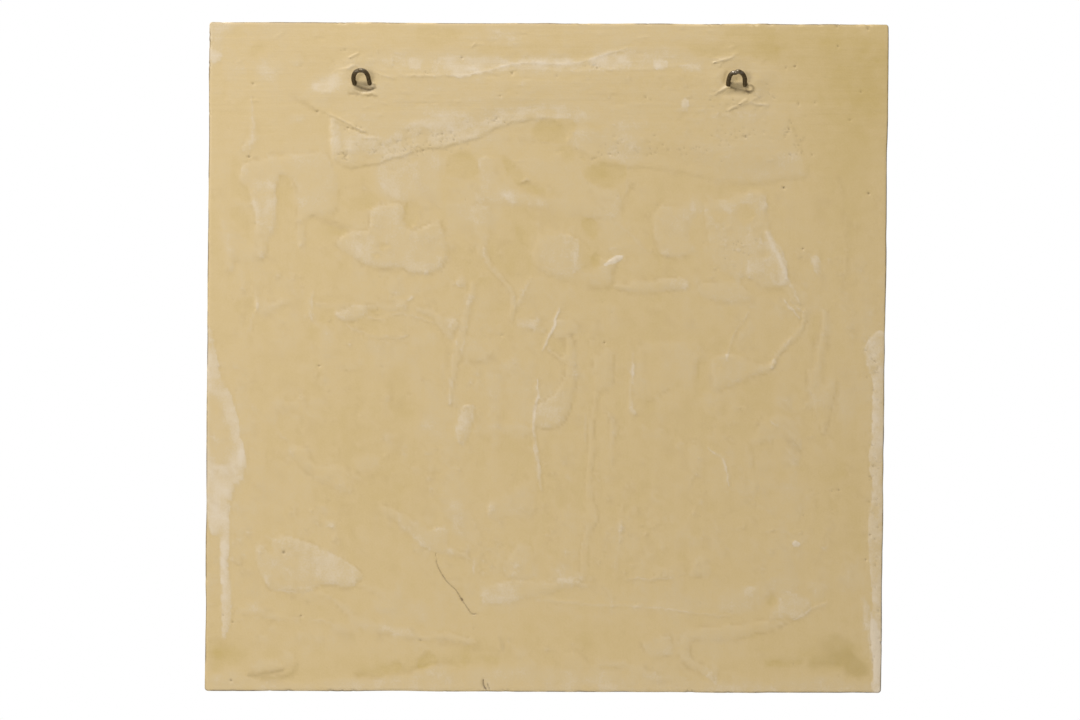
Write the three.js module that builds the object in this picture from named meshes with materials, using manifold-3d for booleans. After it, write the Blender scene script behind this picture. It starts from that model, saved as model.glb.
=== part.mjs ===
// A nearly square plaster relief panel, cast face down in a mould, with two hanging loops of
// bent iron wire bedded in its back. Millimetres, +Z up.
//
// The carved face looks along -Y and the flat back along +Y. The origin is on the wall that the
// panel hangs on, midway between the two loops and level with the underside of their crowns,
// where the hooks bear. Left and right are as seen by someone facing the back.
import * as THREE from "three";
import { mergeVertices } from "three/addons/utils/BufferGeometryUtils.js";
import Module from "manifold-3d";

const wasm = await Module();
wasm.setup();

// The slab. The hand-made mould was a little out of square, so the foot of the panel is
// narrower than its head and sits to one side of it.
const TOP_WIDTH = 571;
const BOTTOM_WIDTH = 568;
const HEIGHT = 562;
const OUT_OF_SQUARE = 3.3;
const THICKNESS = 34;
const CORNER_RADIUS = 2.6;
const ARRIS = 1.2;
const MOULD_DRAFT = 1.5;

// The carved face: a flat border, a moulding down to the sunk field, and a ring.
const BORDER_WIDTH = 30;
const MOULDING_WIDTH = 16;
const FIELD_DEPTH = 12;
const RING_RADIUS = 166;
const RING_WIDTH = 22;
const RING_HEIGHT = 8;
const ORNAMENT_ROOT = 2;
const SLIVER = 0.03;

// The rosette, and the fan of leaflets in each corner.
const ROSETTE_LEAVES = 8;
const OUTER_LEAF = { start: 24, length: 112, width: 72, rise: 11, lobes: 4, dish: 0.5 };
const INNER_LEAF = { start: 10, length: 62, width: 40, rise: 15.5, lobes: 3, dish: 0.35 };
const OVERLAP_STEP = 0.9;
const BOSS_RADIUS = 17;
const BOSS_HEIGHT = 17;
const FAN_LEAFLETS = 7;
const FAN_SPREAD = 132;
const FAN_TUCK = 3.5;
const FAN_LEAFLET = { start: 9, length: 98, width: 23, rise: 7.5, lobes: 0, dish: 0.45 };
const FAN_SHORTEST = 0.52;
const FAN_BOSS_RADIUS = 14;
const FAN_BOSS_HEIGHT = 8;

// The thin coat of plaster spread over the head of the back, which beds the loops.
const BEDDING_COAT = 1.2;
const BEDDING_FEATHER = 2.5;

// The wire loops.
const WIRE = 3.5;
const LOOP_SPACING = 315.5;
const LOOPS_OFF_CENTRE = 2.3;
const HOOK_LINE_BELOW_TOP = 42;
const LOOP_HEIGHT = 15.6;
const LOOP_HALF_WIDTH = 6.6;
const LOOP_LEAN = THREE.MathUtils.degToRad(38);
const WIRE_CLEARANCE = 0.3;

// Each loop is bent by hand. Its line is given across and up the loop, as shares of its half
// width and its height, from one leg over the crown to the other.
const LEFT_LOOP_LINE = [
  [0.9, 0.05],
  [0.97, 0.4],
  [0.84, 0.74],
  [0.5, 0.94],
  [-0.04, 1],
  [-0.54, 0.92],
  [-0.88, 0.7],
  [-1.02, 0.4],
  [-1.1, 0.08],
];
const RIGHT_LOOP_LINE = [
  [1.1, 0.05],
  [1.0, 0.45],
  [0.84, 0.76],
  [0.56, 0.93],
  [0.16, 0.95],
  [-0.28, 1],
  [-0.76, 0.84],
  [-1.0, 0.5],
  [-1.04, 0.05],
];

// The bedding coat's outline, from the left end of the back and clockwise: how far left of the
// loops' middle, as a share of half the head's width, and how far up from the hook line, as a
// share of the way to the panel's top edge, or down as a share of the way to its foot.
const BEDDING_OUTLINE = [
  [0.644, 0.333],
  [0.35, 0.524],
  [-0.07, 0.405],
  [-0.42, 0.548],
  [-0.665, 0.286],
  [-0.722, -0.062],
  [-0.767, -0.112],
  [-0.76, -0.165],
  [-0.63, -0.177],
  [-0.403, -0.158],
  [-0.168, -0.135],
  [-0.056, -0.092],
  [0.105, -0.069],
  [0.273, -0.1],
  [0.455, -0.135],
  [0.602, -0.144],
  [0.634, -0.077],
  [0.75, -0.042],
];

const materials = {
  plaster: new THREE.MeshStandardMaterial({ color: 0xcdb88a, roughness: 0.62, metalness: 0 }),
  wire: new THREE.MeshStandardMaterial({ color: 0x4a4034, roughness: 0.5, metalness: 0.8 }),
};

const loopReach = LOOP_HEIGHT * Math.sin(LOOP_LEAN) + WIRE / 2;
const backY = -loopReach;
const hookRise = (LOOP_HEIGHT * Math.cos(LOOP_LEAN)) - WIRE / 2;
const topZ = HOOK_LINE_BELOW_TOP;
const midZ = topZ - HEIGHT / 2;
const fieldHeight = THICKNESS - FIELD_DEPTH;
// The legs stop half way through the plaster behind the sunk field.
const legInPlaster = fieldHeight / 2 / Math.sin(LOOP_LEAN);

// A closed geometry as a solid that can be cut and joined.
function solid(geometry) {
  const bare = geometry.clone();
  bare.deleteAttribute("normal");
  bare.deleteAttribute("uv");
  const merged = mergeVertices(bare, 1e-4);
  return new wasm.Manifold(
    new wasm.Mesh({
      numProp: 3,
      vertProperties: merged.attributes.position.array,
      triVerts: new Uint32Array(merged.index.array),
    }),
  );
}

function geometryOf(made) {
  const { numProp, vertProperties, triVerts } = made.getMesh();
  const position = new Float32Array((vertProperties.length / numProp) * 3);
  for (let i = 0; i * numProp < vertProperties.length; i++)
    position.set(vertProperties.subarray(i * numProp, i * numProp + 3), i * 3);
  const geometry = new THREE.BufferGeometry();
  geometry.setAttribute("position", new THREE.BufferAttribute(position, 3));
  geometry.setIndex([...triVerts]);
  geometry.computeVertexNormals();
  return geometry;
}

function join(solids) {
  return solids.reduce((whole, piece) => whole.add(piece));
}

// The panel is drawn lying on its back: x across, y up the panel, z out of its carved face,
// with the flat back at z 0 and the middle of the panel at x 0, y 0.

// Half the panel's width at a height y, and how far the out-of-square mould shifts it.
function halfWidthAt(y) {
  return (TOP_WIDTH + BOTTOM_WIDTH + (2 * y * (TOP_WIDTH - BOTTOM_WIDTH)) / HEIGHT) / 4;
}

function shiftAt(y) {
  return (-OUT_OF_SQUARE * y) / HEIGHT;
}

// The four corners at an inset from the panel's outline, anticlockwise from the lower left.
function cornersAt(inset) {
  const y = HEIGHT / 2 - inset;
  return [
    [-halfWidthAt(-y) + inset + shiftAt(-y), -y],
    [halfWidthAt(-y) - inset + shiftAt(-y), -y],
    [halfWidthAt(y) - inset + shiftAt(y), y],
    [-halfWidthAt(y) + inset + shiftAt(y), y],
  ];
}

// A four-sided solid with mitred corners, from its profile: an inset and a height at each step.
function mitred(profile) {
  const points = profile.flatMap(([inset, z]) => cornersAt(inset).map(([x, y]) => [x, y, z]));
  const faces = [[0, 2, 1], [0, 3, 2]];
  for (let step = 0; step < profile.length - 1; step++)
    for (let side = 0; side < 4; side++) {
      const a = step * 4 + side;
      const b = step * 4 + ((side + 1) % 4);
      faces.push([a, b, b + 4], [a, b + 4, a + 4]);
    }
  const last = (profile.length - 1) * 4;
  faces.push([last, last + 1, last + 2], [last, last + 2, last + 3]);
  const geometry = new THREE.BufferGeometry();
  geometry.setAttribute("position", new THREE.Float32BufferAttribute(points.flat(), 3));
  geometry.setIndex(faces.flat());
  return geometry;
}

function slab() {
  const corners = cornersAt(ARRIS).map(([x, y]) => new THREE.Vector2(x, y));
  const outline = new THREE.Shape();
  corners.forEach((corner, i) => {
    const before = corners[(i + 3) % 4].clone().sub(corner).setLength(CORNER_RADIUS).add(corner);
    const after = corners[(i + 1) % 4].clone().sub(corner).setLength(CORNER_RADIUS).add(corner);
    if (i === 0) outline.moveTo(before.x, before.y);
    else outline.lineTo(before.x, before.y);
    outline.quadraticCurveTo(corner.x, corner.y, after.x, after.y);
  });
  const geometry = new THREE.ExtrudeGeometry(outline, {
    depth: THICKNESS - 2 * ARRIS,
    curveSegments: 3,
    bevelEnabled: true,
    bevelThickness: ARRIS,
    bevelSize: ARRIS,
    bevelSegments: 1,
  }).translate(0, 0, ARRIS);
  const place = geometry.attributes.position;
  for (let i = 0; i < place.count; i++) {
    const inset = (MOULD_DRAFT * place.getZ(i)) / THICKNESS;
    place.setX(i, place.getX(i) * (1 - (2 * inset) / TOP_WIDTH));
    place.setY(i, place.getY(i) * (1 - (2 * inset) / HEIGHT));
  }
  return geometry;
}

// What is cut away to sink the field: straight down the border's edge, then an ogee.
function fieldCut() {
  const fillet = 2;
  const steps = 6;
  const lip = THICKNESS - fillet;
  const drop = FIELD_DEPTH - fillet;
  const profile = [];
  for (let i = 0; i <= steps; i++) {
    const share = i / steps;
    const wave = share + Math.sin(2 * Math.PI * share) / 9;
    profile.push([BORDER_WIDTH + MOULDING_WIDTH * (1 - share), fieldHeight + drop * wave]);
  }
  profile.push([BORDER_WIDTH - 1.5, lip], [BORDER_WIDTH - 1.5, THICKNESS + 5]);
  return mitred(profile);
}

// The ring: a half-round between two flat fillets.
function ring() {
  const half = RING_WIDTH / 2;
  const fillet = RING_WIDTH * 0.16;
  const step = RING_HEIGHT * 0.4;
  const bead = half - fillet;
  const section = [
    new THREE.Vector2(RING_RADIUS - half, -ORNAMENT_ROOT),
    new THREE.Vector2(RING_RADIUS + half, -ORNAMENT_ROOT),
    new THREE.Vector2(RING_RADIUS + half, step),
  ];
  const arcSteps = 6;
  for (let i = 0; i <= arcSteps; i++) {
    const angle = (Math.PI * i) / arcSteps;
    section.push(
      new THREE.Vector2(
        RING_RADIUS + bead * Math.cos(angle),
        step + (RING_HEIGHT - step) * Math.sin(angle),
      ),
    );
  }
  section.push(new THREE.Vector2(RING_RADIUS - half, step), section[0].clone());
  return turned(section, 48);
}

// A profile of radii and heights turned about the z axis.
function turned(profile, sides) {
  return new THREE.LatheGeometry(profile, sides).rotateX(Math.PI / 2);
}

function dome(radius, height, sides) {
  const profile = [new THREE.Vector2(0, -ORNAMENT_ROOT), new THREE.Vector2(radius, -ORNAMENT_ROOT)];
  const steps = 4;
  for (let i = 0; i <= steps; i++) {
    const angle = (Math.PI / 2) * (i / steps);
    const shoulder = height * 0.45;
    profile.push(
      new THREE.Vector2(
        i === steps ? 0 : radius * Math.cos(angle),
        shoulder + (height - shoulder) * Math.sin(angle),
      ),
    );
  }
  return turned(profile, sides);
}

// Half a leaf's width, as a share of its widest, at a share of its length. It broadens from a
// narrow stalk to past the middle and closes to a blunt tip, with a notch between lobes.
function leafWidth(share, lobes) {
  const body = ((1.02 - share) ** 0.55 * (0.35 + 1.6 * share)) / 0.8;
  const notch = lobes ? 0.16 * (0.5 + 0.5 * Math.cos(2 * Math.PI * lobes * share)) : 0;
  return body * (1 - notch * Math.min(1, 4 * share));
}

// A leaf's height above the field, as a share of its rise. It climbs to a turned-over tip, and
// its edges lie lower than its middle.
function leafHeight(share, across, dish) {
  const climb = 0.45 + 0.55 * Math.sin(Math.PI * Math.min(1, 0.08 + share * 0.62));
  const tip = share > 0.86 ? 1 - 2.2 * (share - 0.86) : 1;
  const midrib = 0.09 * Math.exp(-((across / 0.16) ** 2)) * (1 - share);
  return climb * tip * (1 - dish * across * across) - midrib;
}

// One leaf, lying along +y from its start.
function leaf({ start, length, width, rise, lobes, dish }, steps, cross) {
  const points = [];
  const faces = [];
  const top = (i, j) => i * (cross + 1) + j;
  const bottomStart = (steps + 1) * (cross + 1);
  const bottom = (i, side) => bottomStart + i * 2 + side;
  for (let i = 0; i <= steps; i++)
    for (let j = 0; j <= cross; j++) {
      const share = i / steps;
      const across = (2 * j) / cross - 1;
      const half = (width / 2) * leafWidth(share, lobes);
      points.push(across * half, start + length * share, rise * leafHeight(share, across, dish));
    }
  for (let i = 0; i <= steps; i++)
    for (const side of [0, 1]) {
      const edge = top(i, side * cross) * 3;
      points.push(points[edge], points[edge + 1], -ORNAMENT_ROOT);
    }
  for (let i = 0; i < steps; i++) {
    for (let j = 0; j < cross; j++) {
      faces.push(top(i, j), top(i, j + 1), top(i + 1, j + 1));
      faces.push(top(i, j), top(i + 1, j + 1), top(i + 1, j));
    }
    faces.push(bottom(i, 0), bottom(i + 1, 1), bottom(i, 1));
    faces.push(bottom(i, 0), bottom(i + 1, 0), bottom(i + 1, 1));
    faces.push(top(i, 0), top(i + 1, 0), bottom(i + 1, 0));
    faces.push(top(i, 0), bottom(i + 1, 0), bottom(i, 0));
    faces.push(top(i, cross), bottom(i + 1, 1), top(i + 1, cross));
    faces.push(top(i, cross), bottom(i, 1), bottom(i + 1, 1));
  }
  for (let j = 0; j < cross; j++) {
    faces.push(bottom(0, 0), top(0, j + 1), top(0, j));
    faces.push(bottom(steps, 0), top(steps, j), top(steps, j + 1));
  }
  faces.push(bottom(0, 0), bottom(0, 1), top(0, cross));
  faces.push(bottom(steps, 0), top(steps, cross), bottom(steps, 1));
  const geometry = new THREE.BufferGeometry();
  geometry.setAttribute("position", new THREE.Float32BufferAttribute(points, 3));
  geometry.setIndex(faces);
  return geometry;
}

function rosette() {
  const pieces = [solid(dome(BOSS_RADIUS, BOSS_HEIGHT, 20))];
  for (let i = 0; i < ROSETTE_LEAVES; i++) {
    const angle = (2 * Math.PI * i) / ROSETTE_LEAVES;
    const half = Math.PI / ROSETTE_LEAVES;
    const under = { ...OUTER_LEAF, rise: OUTER_LEAF.rise - OVERLAP_STEP * (i % 2) };
    pieces.push(solid(leaf(under, 14, 4).rotateZ(angle)));
    pieces.push(solid(leaf(INNER_LEAF, 9, 4).rotateZ(angle + half)));
  }
  return join(pieces);
}

// A fan of leaflets that springs from the ring towards +y, longest in the middle. Its boss is
// tucked a little into the ring.
function cornerFan() {
  const root = RING_RADIUS + RING_WIDTH / 2 + FAN_BOSS_RADIUS - FAN_TUCK;
  const pieces = [solid(dome(FAN_BOSS_RADIUS, FAN_BOSS_HEIGHT, 12).translate(0, root, 0))];
  for (let i = 0; i < FAN_LEAFLETS; i++) {
    const side = (2 * i) / (FAN_LEAFLETS - 1) - 1;
    const size = 1 - (1 - FAN_SHORTEST) * Math.abs(side) ** 1.3;
    const leaflet = { ...FAN_LEAFLET, length: FAN_LEAFLET.length * size };
    const angle = THREE.MathUtils.degToRad((-side * FAN_SPREAD) / 2);
    pieces.push(solid(leaf(leaflet, 7, 2).rotateZ(angle).translate(0, root, 0)));
  }
  return join(pieces);
}

function ornaments() {
  const fan = cornerFan();
  const pieces = [rosette(), solid(ring())];
  for (let i = 0; i < 4; i++) pieces.push(fan.rotate([0, 0, 45 + 90 * i]));
  return join(pieces).translate([0, 0, fieldHeight]);
}

// The bedding coat on the back, feathered at its edge.
function beddingCoat() {
  const corners = BEDDING_OUTLINE.map(([left, up]) => {
    const reach = up > 0 ? topZ : HEIGHT - HOOK_LINE_BELOW_TOP;
    return new THREE.Vector3((left * TOP_WIDTH) / 2, up * reach, 0);
  });
  const edge = new THREE.CatmullRomCurve3(corners.reverse(), true, "centripetal");
  const outline = new THREE.Shape(edge.getPoints(72).slice(1));
  return new THREE.ExtrudeGeometry(outline, {
    depth: ORNAMENT_ROOT,
    bevelEnabled: true,
    bevelThickness: BEDDING_COAT,
    bevelSize: BEDDING_FEATHER,
    bevelOffset: -BEDDING_FEATHER,
    bevelSegments: 1,
  })
    .rotateX(Math.PI / 2)
    .translate(0, backY, 0);
}

// A loop's wire, thicker by a clearance for the hole that it stands in. The legs run on in a
// straight line into the plaster.
function loopWire(line, clearance) {
  const up = new THREE.Vector3(0, Math.sin(LOOP_LEAN), Math.cos(LOOP_LEAN));
  const across = new THREE.Vector3(1, 0, 0);
  const at = ([a, s]) =>
    new THREE.Vector3(0, backY, -hookRise)
      .addScaledVector(across, a * LOOP_HALF_WIDTH)
      .addScaledVector(up, s * LOOP_HEIGHT);
  const buried = -(legInPlaster + clearance) / LOOP_HEIGHT;
  const first = line[0];
  const last = line[line.length - 1];
  const legs = [first, last].map(([a]) => [[a, buried], [a, buried / 2]]);
  const path = new THREE.CatmullRomCurve3(
    [...legs[0], ...line, ...legs[1].reverse()].map(at),
    false,
    "centripetal",
  );
  const section = new THREE.Shape();
  section.absarc(0, 0, WIRE / 2 + clearance, 0, 2 * Math.PI);
  return new THREE.ExtrudeGeometry(section, { steps: 32, curveSegments: 5, extrudePath: path });
}

const loops = [
  { name: "left_hanging_loop", line: LEFT_LOOP_LINE, x: LOOP_SPACING / 2 },
  { name: "right_hanging_loop", line: RIGHT_LOOP_LINE, x: -LOOP_SPACING / 2 },
];

function plasterPanel() {
  const carved = solid(slab()).subtract(solid(fieldCut())).add(ornaments());
  const upright = carved.rotate([90, 0, 0]).translate([LOOPS_OFF_CENTRE, backY, midZ]);
  const bedded = upright.add(solid(beddingCoat()));
  const holed = loops.reduce(
    (panel, { line, x }) => panel.subtract(solid(loopWire(line, WIRE_CLEARANCE)).translate([x, 0, 0])),
    bedded,
  );
  return holed.simplify(SLIVER);
}

const reliefPanel = new THREE.Group();
reliefPanel.name = "relief_panel";

const panel = new THREE.Mesh(geometryOf(plasterPanel()), materials.plaster);
panel.name = "plaster_panel";
reliefPanel.add(panel);

for (const { name, line, x } of loops) {
  const wire = new THREE.Mesh(loopWire(line, 0), materials.wire);
  wire.name = name;
  wire.position.x = x;
  reliefPanel.add(wire);
}

export default reliefPanel;
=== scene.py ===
# %% [markdown]
# # A cast plaster relief panel, seen from behind
#
# A relief panel is cast face down in a mould. Its carved face ends up smooth, and its back shows
# how it was made: wet plaster was levelled by hand, wire loops were bedded in it, and thin slips
# of plaster ran and dried in patches. A coat of shellac turned it all tan. The photograph shows
# that back, so most of this lesson is about one nearly flat surface with a great deal on it.
#
# The solids come from the CAD frame. Here the panel gets a fine skin, and the loops get real
# wire. Lengths are worked out in millimetres and handed to Blender in metres.

# %% Load the frame
import math

import bmesh
import bpy
import numpy as np
from mathutils import Matrix, Vector


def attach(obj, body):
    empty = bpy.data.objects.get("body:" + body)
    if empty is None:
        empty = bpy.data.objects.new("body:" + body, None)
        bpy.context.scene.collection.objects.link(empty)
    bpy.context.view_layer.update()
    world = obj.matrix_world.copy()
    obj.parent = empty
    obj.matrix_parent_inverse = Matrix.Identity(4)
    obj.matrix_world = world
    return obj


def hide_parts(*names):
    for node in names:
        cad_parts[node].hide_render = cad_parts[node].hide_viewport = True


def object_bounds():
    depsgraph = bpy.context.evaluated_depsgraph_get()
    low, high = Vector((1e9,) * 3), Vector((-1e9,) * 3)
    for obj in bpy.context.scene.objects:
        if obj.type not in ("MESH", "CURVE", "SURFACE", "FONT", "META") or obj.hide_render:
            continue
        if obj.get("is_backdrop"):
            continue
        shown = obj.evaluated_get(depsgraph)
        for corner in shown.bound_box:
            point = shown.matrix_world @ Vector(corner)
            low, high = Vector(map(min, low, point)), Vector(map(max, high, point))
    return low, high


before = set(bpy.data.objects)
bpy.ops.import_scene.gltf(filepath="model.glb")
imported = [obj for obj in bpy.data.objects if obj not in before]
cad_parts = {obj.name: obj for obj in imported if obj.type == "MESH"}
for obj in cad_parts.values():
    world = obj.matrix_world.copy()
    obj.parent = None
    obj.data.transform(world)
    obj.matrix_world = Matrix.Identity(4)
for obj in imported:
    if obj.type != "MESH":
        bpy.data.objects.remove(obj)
cad_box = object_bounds()
MM = 0.001
print("CAD box in mm", [[round(v / MM, 1) for v in corner] for corner in cad_box])

# %% [markdown]
# ## The panel's own sizes
#
# The slab isn't square. Its hand-made mould was out by three millimetres, so the foot is
# narrower than the head and sits to one side. The same few numbers that shaped the solid place
# everything here: x runs to the left for someone who faces the back, z runs up, and the flat
# back lies at a fixed y.

# %% Sizes of the slab
TOP_WIDTH, BOTTOM_WIDTH, HEIGHT = 571.0, 568.0, 562.0
OUT_OF_SQUARE = 3.3
THICKNESS = 34.0
CORNER_RADIUS = 2.6
ARRIS = 1.2
MOULD_DRAFT = 1.5
WIRE = 3.5
LOOP_HEIGHT, LOOP_HALF_WIDTH = 15.6, 6.6
LOOP_LEAN = math.radians(38)
LOOP_X = 157.75
BACK_Y = -(LOOP_HEIGHT * math.sin(LOOP_LEAN) + WIRE / 2)
HOOK_RISE = LOOP_HEIGHT * math.cos(LOOP_LEAN) - WIRE / 2
MIDDLE = (2.3, 42.0 - HEIGHT / 2)


def half_width(up):
    """Half the panel's width at a height above its middle."""
    return (TOP_WIDTH + BOTTOM_WIDTH + 2 * up * (TOP_WIDTH - BOTTOM_WIDTH) / HEIGHT) / 4


def sideways(up):
    """How far the out-of-square mould shifts the panel at a height above its middle."""
    return -OUT_OF_SQUARE * up / HEIGHT


print("flat back at y", round(BACK_Y, 3), "mm; panel's middle at", MIDDLE)

# %% [markdown]
# ## From the photograph to the panel
#
# The camera stands square to the back, so a place in the photograph is a place on the panel: a
# shift, a scale, and a fifth of a degree of roll. Marks on the back are written down below in
# the photograph's pixels, where they are easy to check by eye, and these two functions carry
# them over.

# %% Pixels and millimetres
MM_PER_PIXEL = 0.84
MIDDLE_PIXEL = (546.05, 357.4)
ROLL = math.radians(0.2)


def panel_of(px, py):
    """The x and z in millimetres of a place in the photograph."""
    right, down = px - MIDDLE_PIXEL[0], py - MIDDLE_PIXEL[1]
    across = right * math.cos(ROLL) + down * math.sin(ROLL)
    below = down * math.cos(ROLL) - right * math.sin(ROLL)
    return MIDDLE[0] - MM_PER_PIXEL * across, MIDDLE[1] - MM_PER_PIXEL * below


def pixel_of(x, z):
    """The place in the photograph of an x and z in millimetres."""
    across, below = (MIDDLE[0] - x) / MM_PER_PIXEL, (MIDDLE[1] - z) / MM_PER_PIXEL
    right = across * math.cos(ROLL) - below * math.sin(ROLL)
    down = across * math.sin(ROLL) + below * math.cos(ROLL)
    return right + MIDDLE_PIXEL[0], down + MIDDLE_PIXEL[1]


print("left loop's foot in the photograph", [round(v, 1) for v in pixel_of(LOOP_X, -HOOK_RISE)])

# %% [markdown]
# ## A lattice to draw on
#
# The back could be sculpted, or displaced by a texture. Here it is drawn on a lattice of points half a
# millimetre apart, as four sheets of numbers: how high the plaster stands, how pale the slip is, where
# shellac pooled in a dark line, and where dirt sits. The last two also carry painted shade at the loops'
# feet and under the coat's lip. Later a mesh is laid over the lattice that is fine only where these sheets
# change. The sheets then become attributes of the mesh, which the material reads, so colour and shape stay
# in step.

# %% The lattice
COARSE = 72
HALVINGS = 4
FINE = COARSE * 2**HALVINGS
share = np.linspace(0.0, 1.0, FINE + 1)
ACROSS, DOWN = np.meshgrid(share, share)


def skin_point(across, down, inset):
    """x and z on the slab at shares of its width and height, for an outline moved in by inset."""
    up = (HEIGHT / 2 - inset) * (1 - 2 * down)
    reach = half_width(up) - inset
    return MIDDLE[0] + sideways(up) + reach * (1 - 2 * across), MIDDLE[1] + up


LATTICE_X, LATTICE_Z = skin_point(ACROSS, DOWN, ARRIS)
PX, PY = (v.astype(np.float32) for v in pixel_of(LATTICE_X, LATTICE_Z))
sheets = {name: np.zeros_like(PX) for name in ("height", "pale", "rim", "soil_and_shade")}
print("lattice", PX.shape, "from pixel", round(PX.min(), 1), round(PY.min(), 1))

# %% [markdown]
# ## Noise with a seed
#
# Hand work is never even. Random numbers at the corners of a loose grid, blended smoothly in
# between, give soft patches of any size, and a grid that is long one way gives trowel marks.
# Each call states its own seed, so the panel comes out the same every time.

# %% Soft noise over the back
NOISE_LEFT, NOISE_TOP, NOISE_SPAN = 190, 5, 760


def clouds(wide, high, seed, px=None, py=None):
    """Smooth noise from -1 to 1, in blots of about wide by high pixels."""
    px = PX if px is None else px
    py = PY if py is None else py
    shape = (int(NOISE_SPAN / high) + 4, int(NOISE_SPAN / wide) + 4)
    cells = np.random.default_rng(seed).uniform(-1, 1, shape).astype(np.float32)
    gx, gy = (px - NOISE_LEFT) / wide, (py - NOISE_TOP) / high
    gx = np.clip(gx, 0, cells.shape[1] - 2.001)
    gy = np.clip(gy, 0, cells.shape[0] - 2.001)
    ix, iy = gx.astype(int), gy.astype(int)
    fx, fy = (gx - ix).astype(np.float32), (gy - iy).astype(np.float32)
    fx, fy = fx * fx * (3 - 2 * fx), fy * fy * (3 - 2 * fy)
    top = cells[iy, ix] * (1 - fx) + cells[iy, ix + 1] * fx
    bottom = cells[iy + 1, ix] * (1 - fx) + cells[iy + 1, ix + 1] * fx
    return top * (1 - fy) + bottom * fy


def drift(size, seed):
    """Two layers of clouds, for a ragged and natural look."""
    return clouds(size, size, seed) * 0.7 + clouds(size * 0.37, size * 0.37, seed + 1) * 0.3


WARP_X = PX + 1.6 * drift(17, 11) + 0.7 * clouds(3.5, 3.5, 12)
WARP_Y = PY + 1.6 * drift(17, 13) + 0.7 * clouds(3.5, 3.5, 14)
print("largest wobble in pixels", round(float(np.abs(WARP_X - PX).max()), 2))

# %% [markdown]
# ## Patches and runs
#
# Two tools draw nearly everything. A patch is a closed outline that a wet slip dried to. A run
# is an open line with a half width at each point, for drips, trowel ridges, scratches and the
# crack. Both turn into a distance from their edge, positive inside, measured only in a window
# around the mark. The sample points are wobbled by noise first, so no edge is drawn too clean.
#
# Points are written as text, x,y with spaces between them, and a run's points as x,y,half width.

# %% Distance to an outline or a line
MARGIN = 14  # pixels around a mark
SPARE = 6  # lattice steps, since the lattice's edges lean
BENDS = 4  # steps from one point of an outline to the next


def marked(points):
    """Points from their text."""
    return np.array([[float(v) for v in point.split(",")] for point in points.split()])


def rounded(points, closed):
    """More points on a smooth line through the given ones."""
    if len(points) < 3:
        return points
    if closed:
        before, after = np.roll(points, 1, 0), np.roll(points, -1, 0)
        later = np.roll(points, -2, 0)
    else:
        whole = np.vstack([2 * points[0] - points[1], points, 2 * points[-1] - points[-2]])
        before, points, after, later = whole[:-3], whole[1:-2], whole[2:-1], whole[3:]
    line = []
    for a, b, c, d in zip(before, points, after, later):
        for t in np.arange(BENDS) / BENDS:
            curve = 2 * b + (c - a) * t + (2 * a - 5 * b + 4 * c - d) * t**2
            line.append((curve + (3 * b - a - 3 * c + d) * t**3) / 2)
    if not closed:
        line.append(after[-1])
    return np.array(line)


def window(points, margin=MARGIN):
    """The slice of the lattice around some points."""
    low, high = points[:, :2].min(0) - margin, points[:, :2].max(0) + margin
    x_left, z_top = panel_of(low[0], low[1])
    x_right, z_bottom = panel_of(high[0], high[1])
    width = 2 * half_width(0)
    columns = [(MIDDLE[0] + width / 2 - x) / width * FINE for x in (x_left, x_right)]
    rows = [(MIDDLE[1] + HEIGHT / 2 - z) / HEIGHT * FINE for z in (z_top, z_bottom)]
    return tuple(slice(max(0, int(first) - SPARE), max(1, int(last) + SPARE + 1))
                 for first, last in (rows, columns))


def patch_edge(points):
    """The window of a closed patch, and the distance inside its edge in pixels."""
    line = rounded(points, True)
    where = window(line)
    px, py = WARP_X[where], WARP_Y[where]
    nearest, inside = np.full_like(px, 1e9), np.zeros(px.shape, bool)
    for a, b in zip(line, np.roll(line, -1, 0)):
        run = (b - a).astype(np.float32)
        dx, dy = px - np.float32(a[0]), py - np.float32(a[1])
        along = np.clip((dx * run[0] + dy * run[1]) / max(run @ run, 1e-9), 0, 1)
        nearest = np.minimum(nearest, (dx - along * run[0]) ** 2 + (dy - along * run[1]) ** 2)
        if run[1]:
            inside ^= ((dy < 0) != (dy < run[1])) & (dx < dy * (run[0] / run[1]))
    nearest = np.sqrt(nearest)
    return where, np.where(inside, nearest, -nearest)


def run_edge(points, wobble=True):
    """The window of a run, and the distance inside its edge in pixels."""
    line = rounded(points, False)
    where = window(line)
    px, py = (WARP_X[where], WARP_Y[where]) if wobble else (PX[where], PY[where])
    edge = np.full_like(px, -1e9)
    for a, b in zip(line[:-1], line[1:]):
        run = (b - a).astype(np.float32)
        dx, dy = px - np.float32(a[0]), py - np.float32(a[1])
        length = max(run[0] ** 2 + run[1] ** 2, 1e-9)
        along = np.clip((dx * run[0] + dy * run[1]) / length, 0, 1)
        away = np.hypot(dx - along * run[0], dy - along * run[1])
        edge = np.maximum(edge, np.float32(a[2]) + along * run[2] - away)
    return where, edge


def spot(x, y, radius, wobble=True, reach=(0.2, 0)):
    """The same for a round spot: a run that is drawn out by hardly any reach."""
    ends = (x, y, radius), (x + reach[0], y + reach[1], radius)
    return run_edge(np.array(ends), wobble)


def ramp(value, low, high):
    """0 below low, 1 above high, and smooth between."""
    t = np.clip((value - low) / (high - low), 0, 1)
    return t * t * (3 - 2 * t)


worn_through = 1 + 0.55 * drift(9, 15)
line_breaks = 0.3 + 0.7 * ramp(drift(13, 17), -0.55, 0.35)


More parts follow.
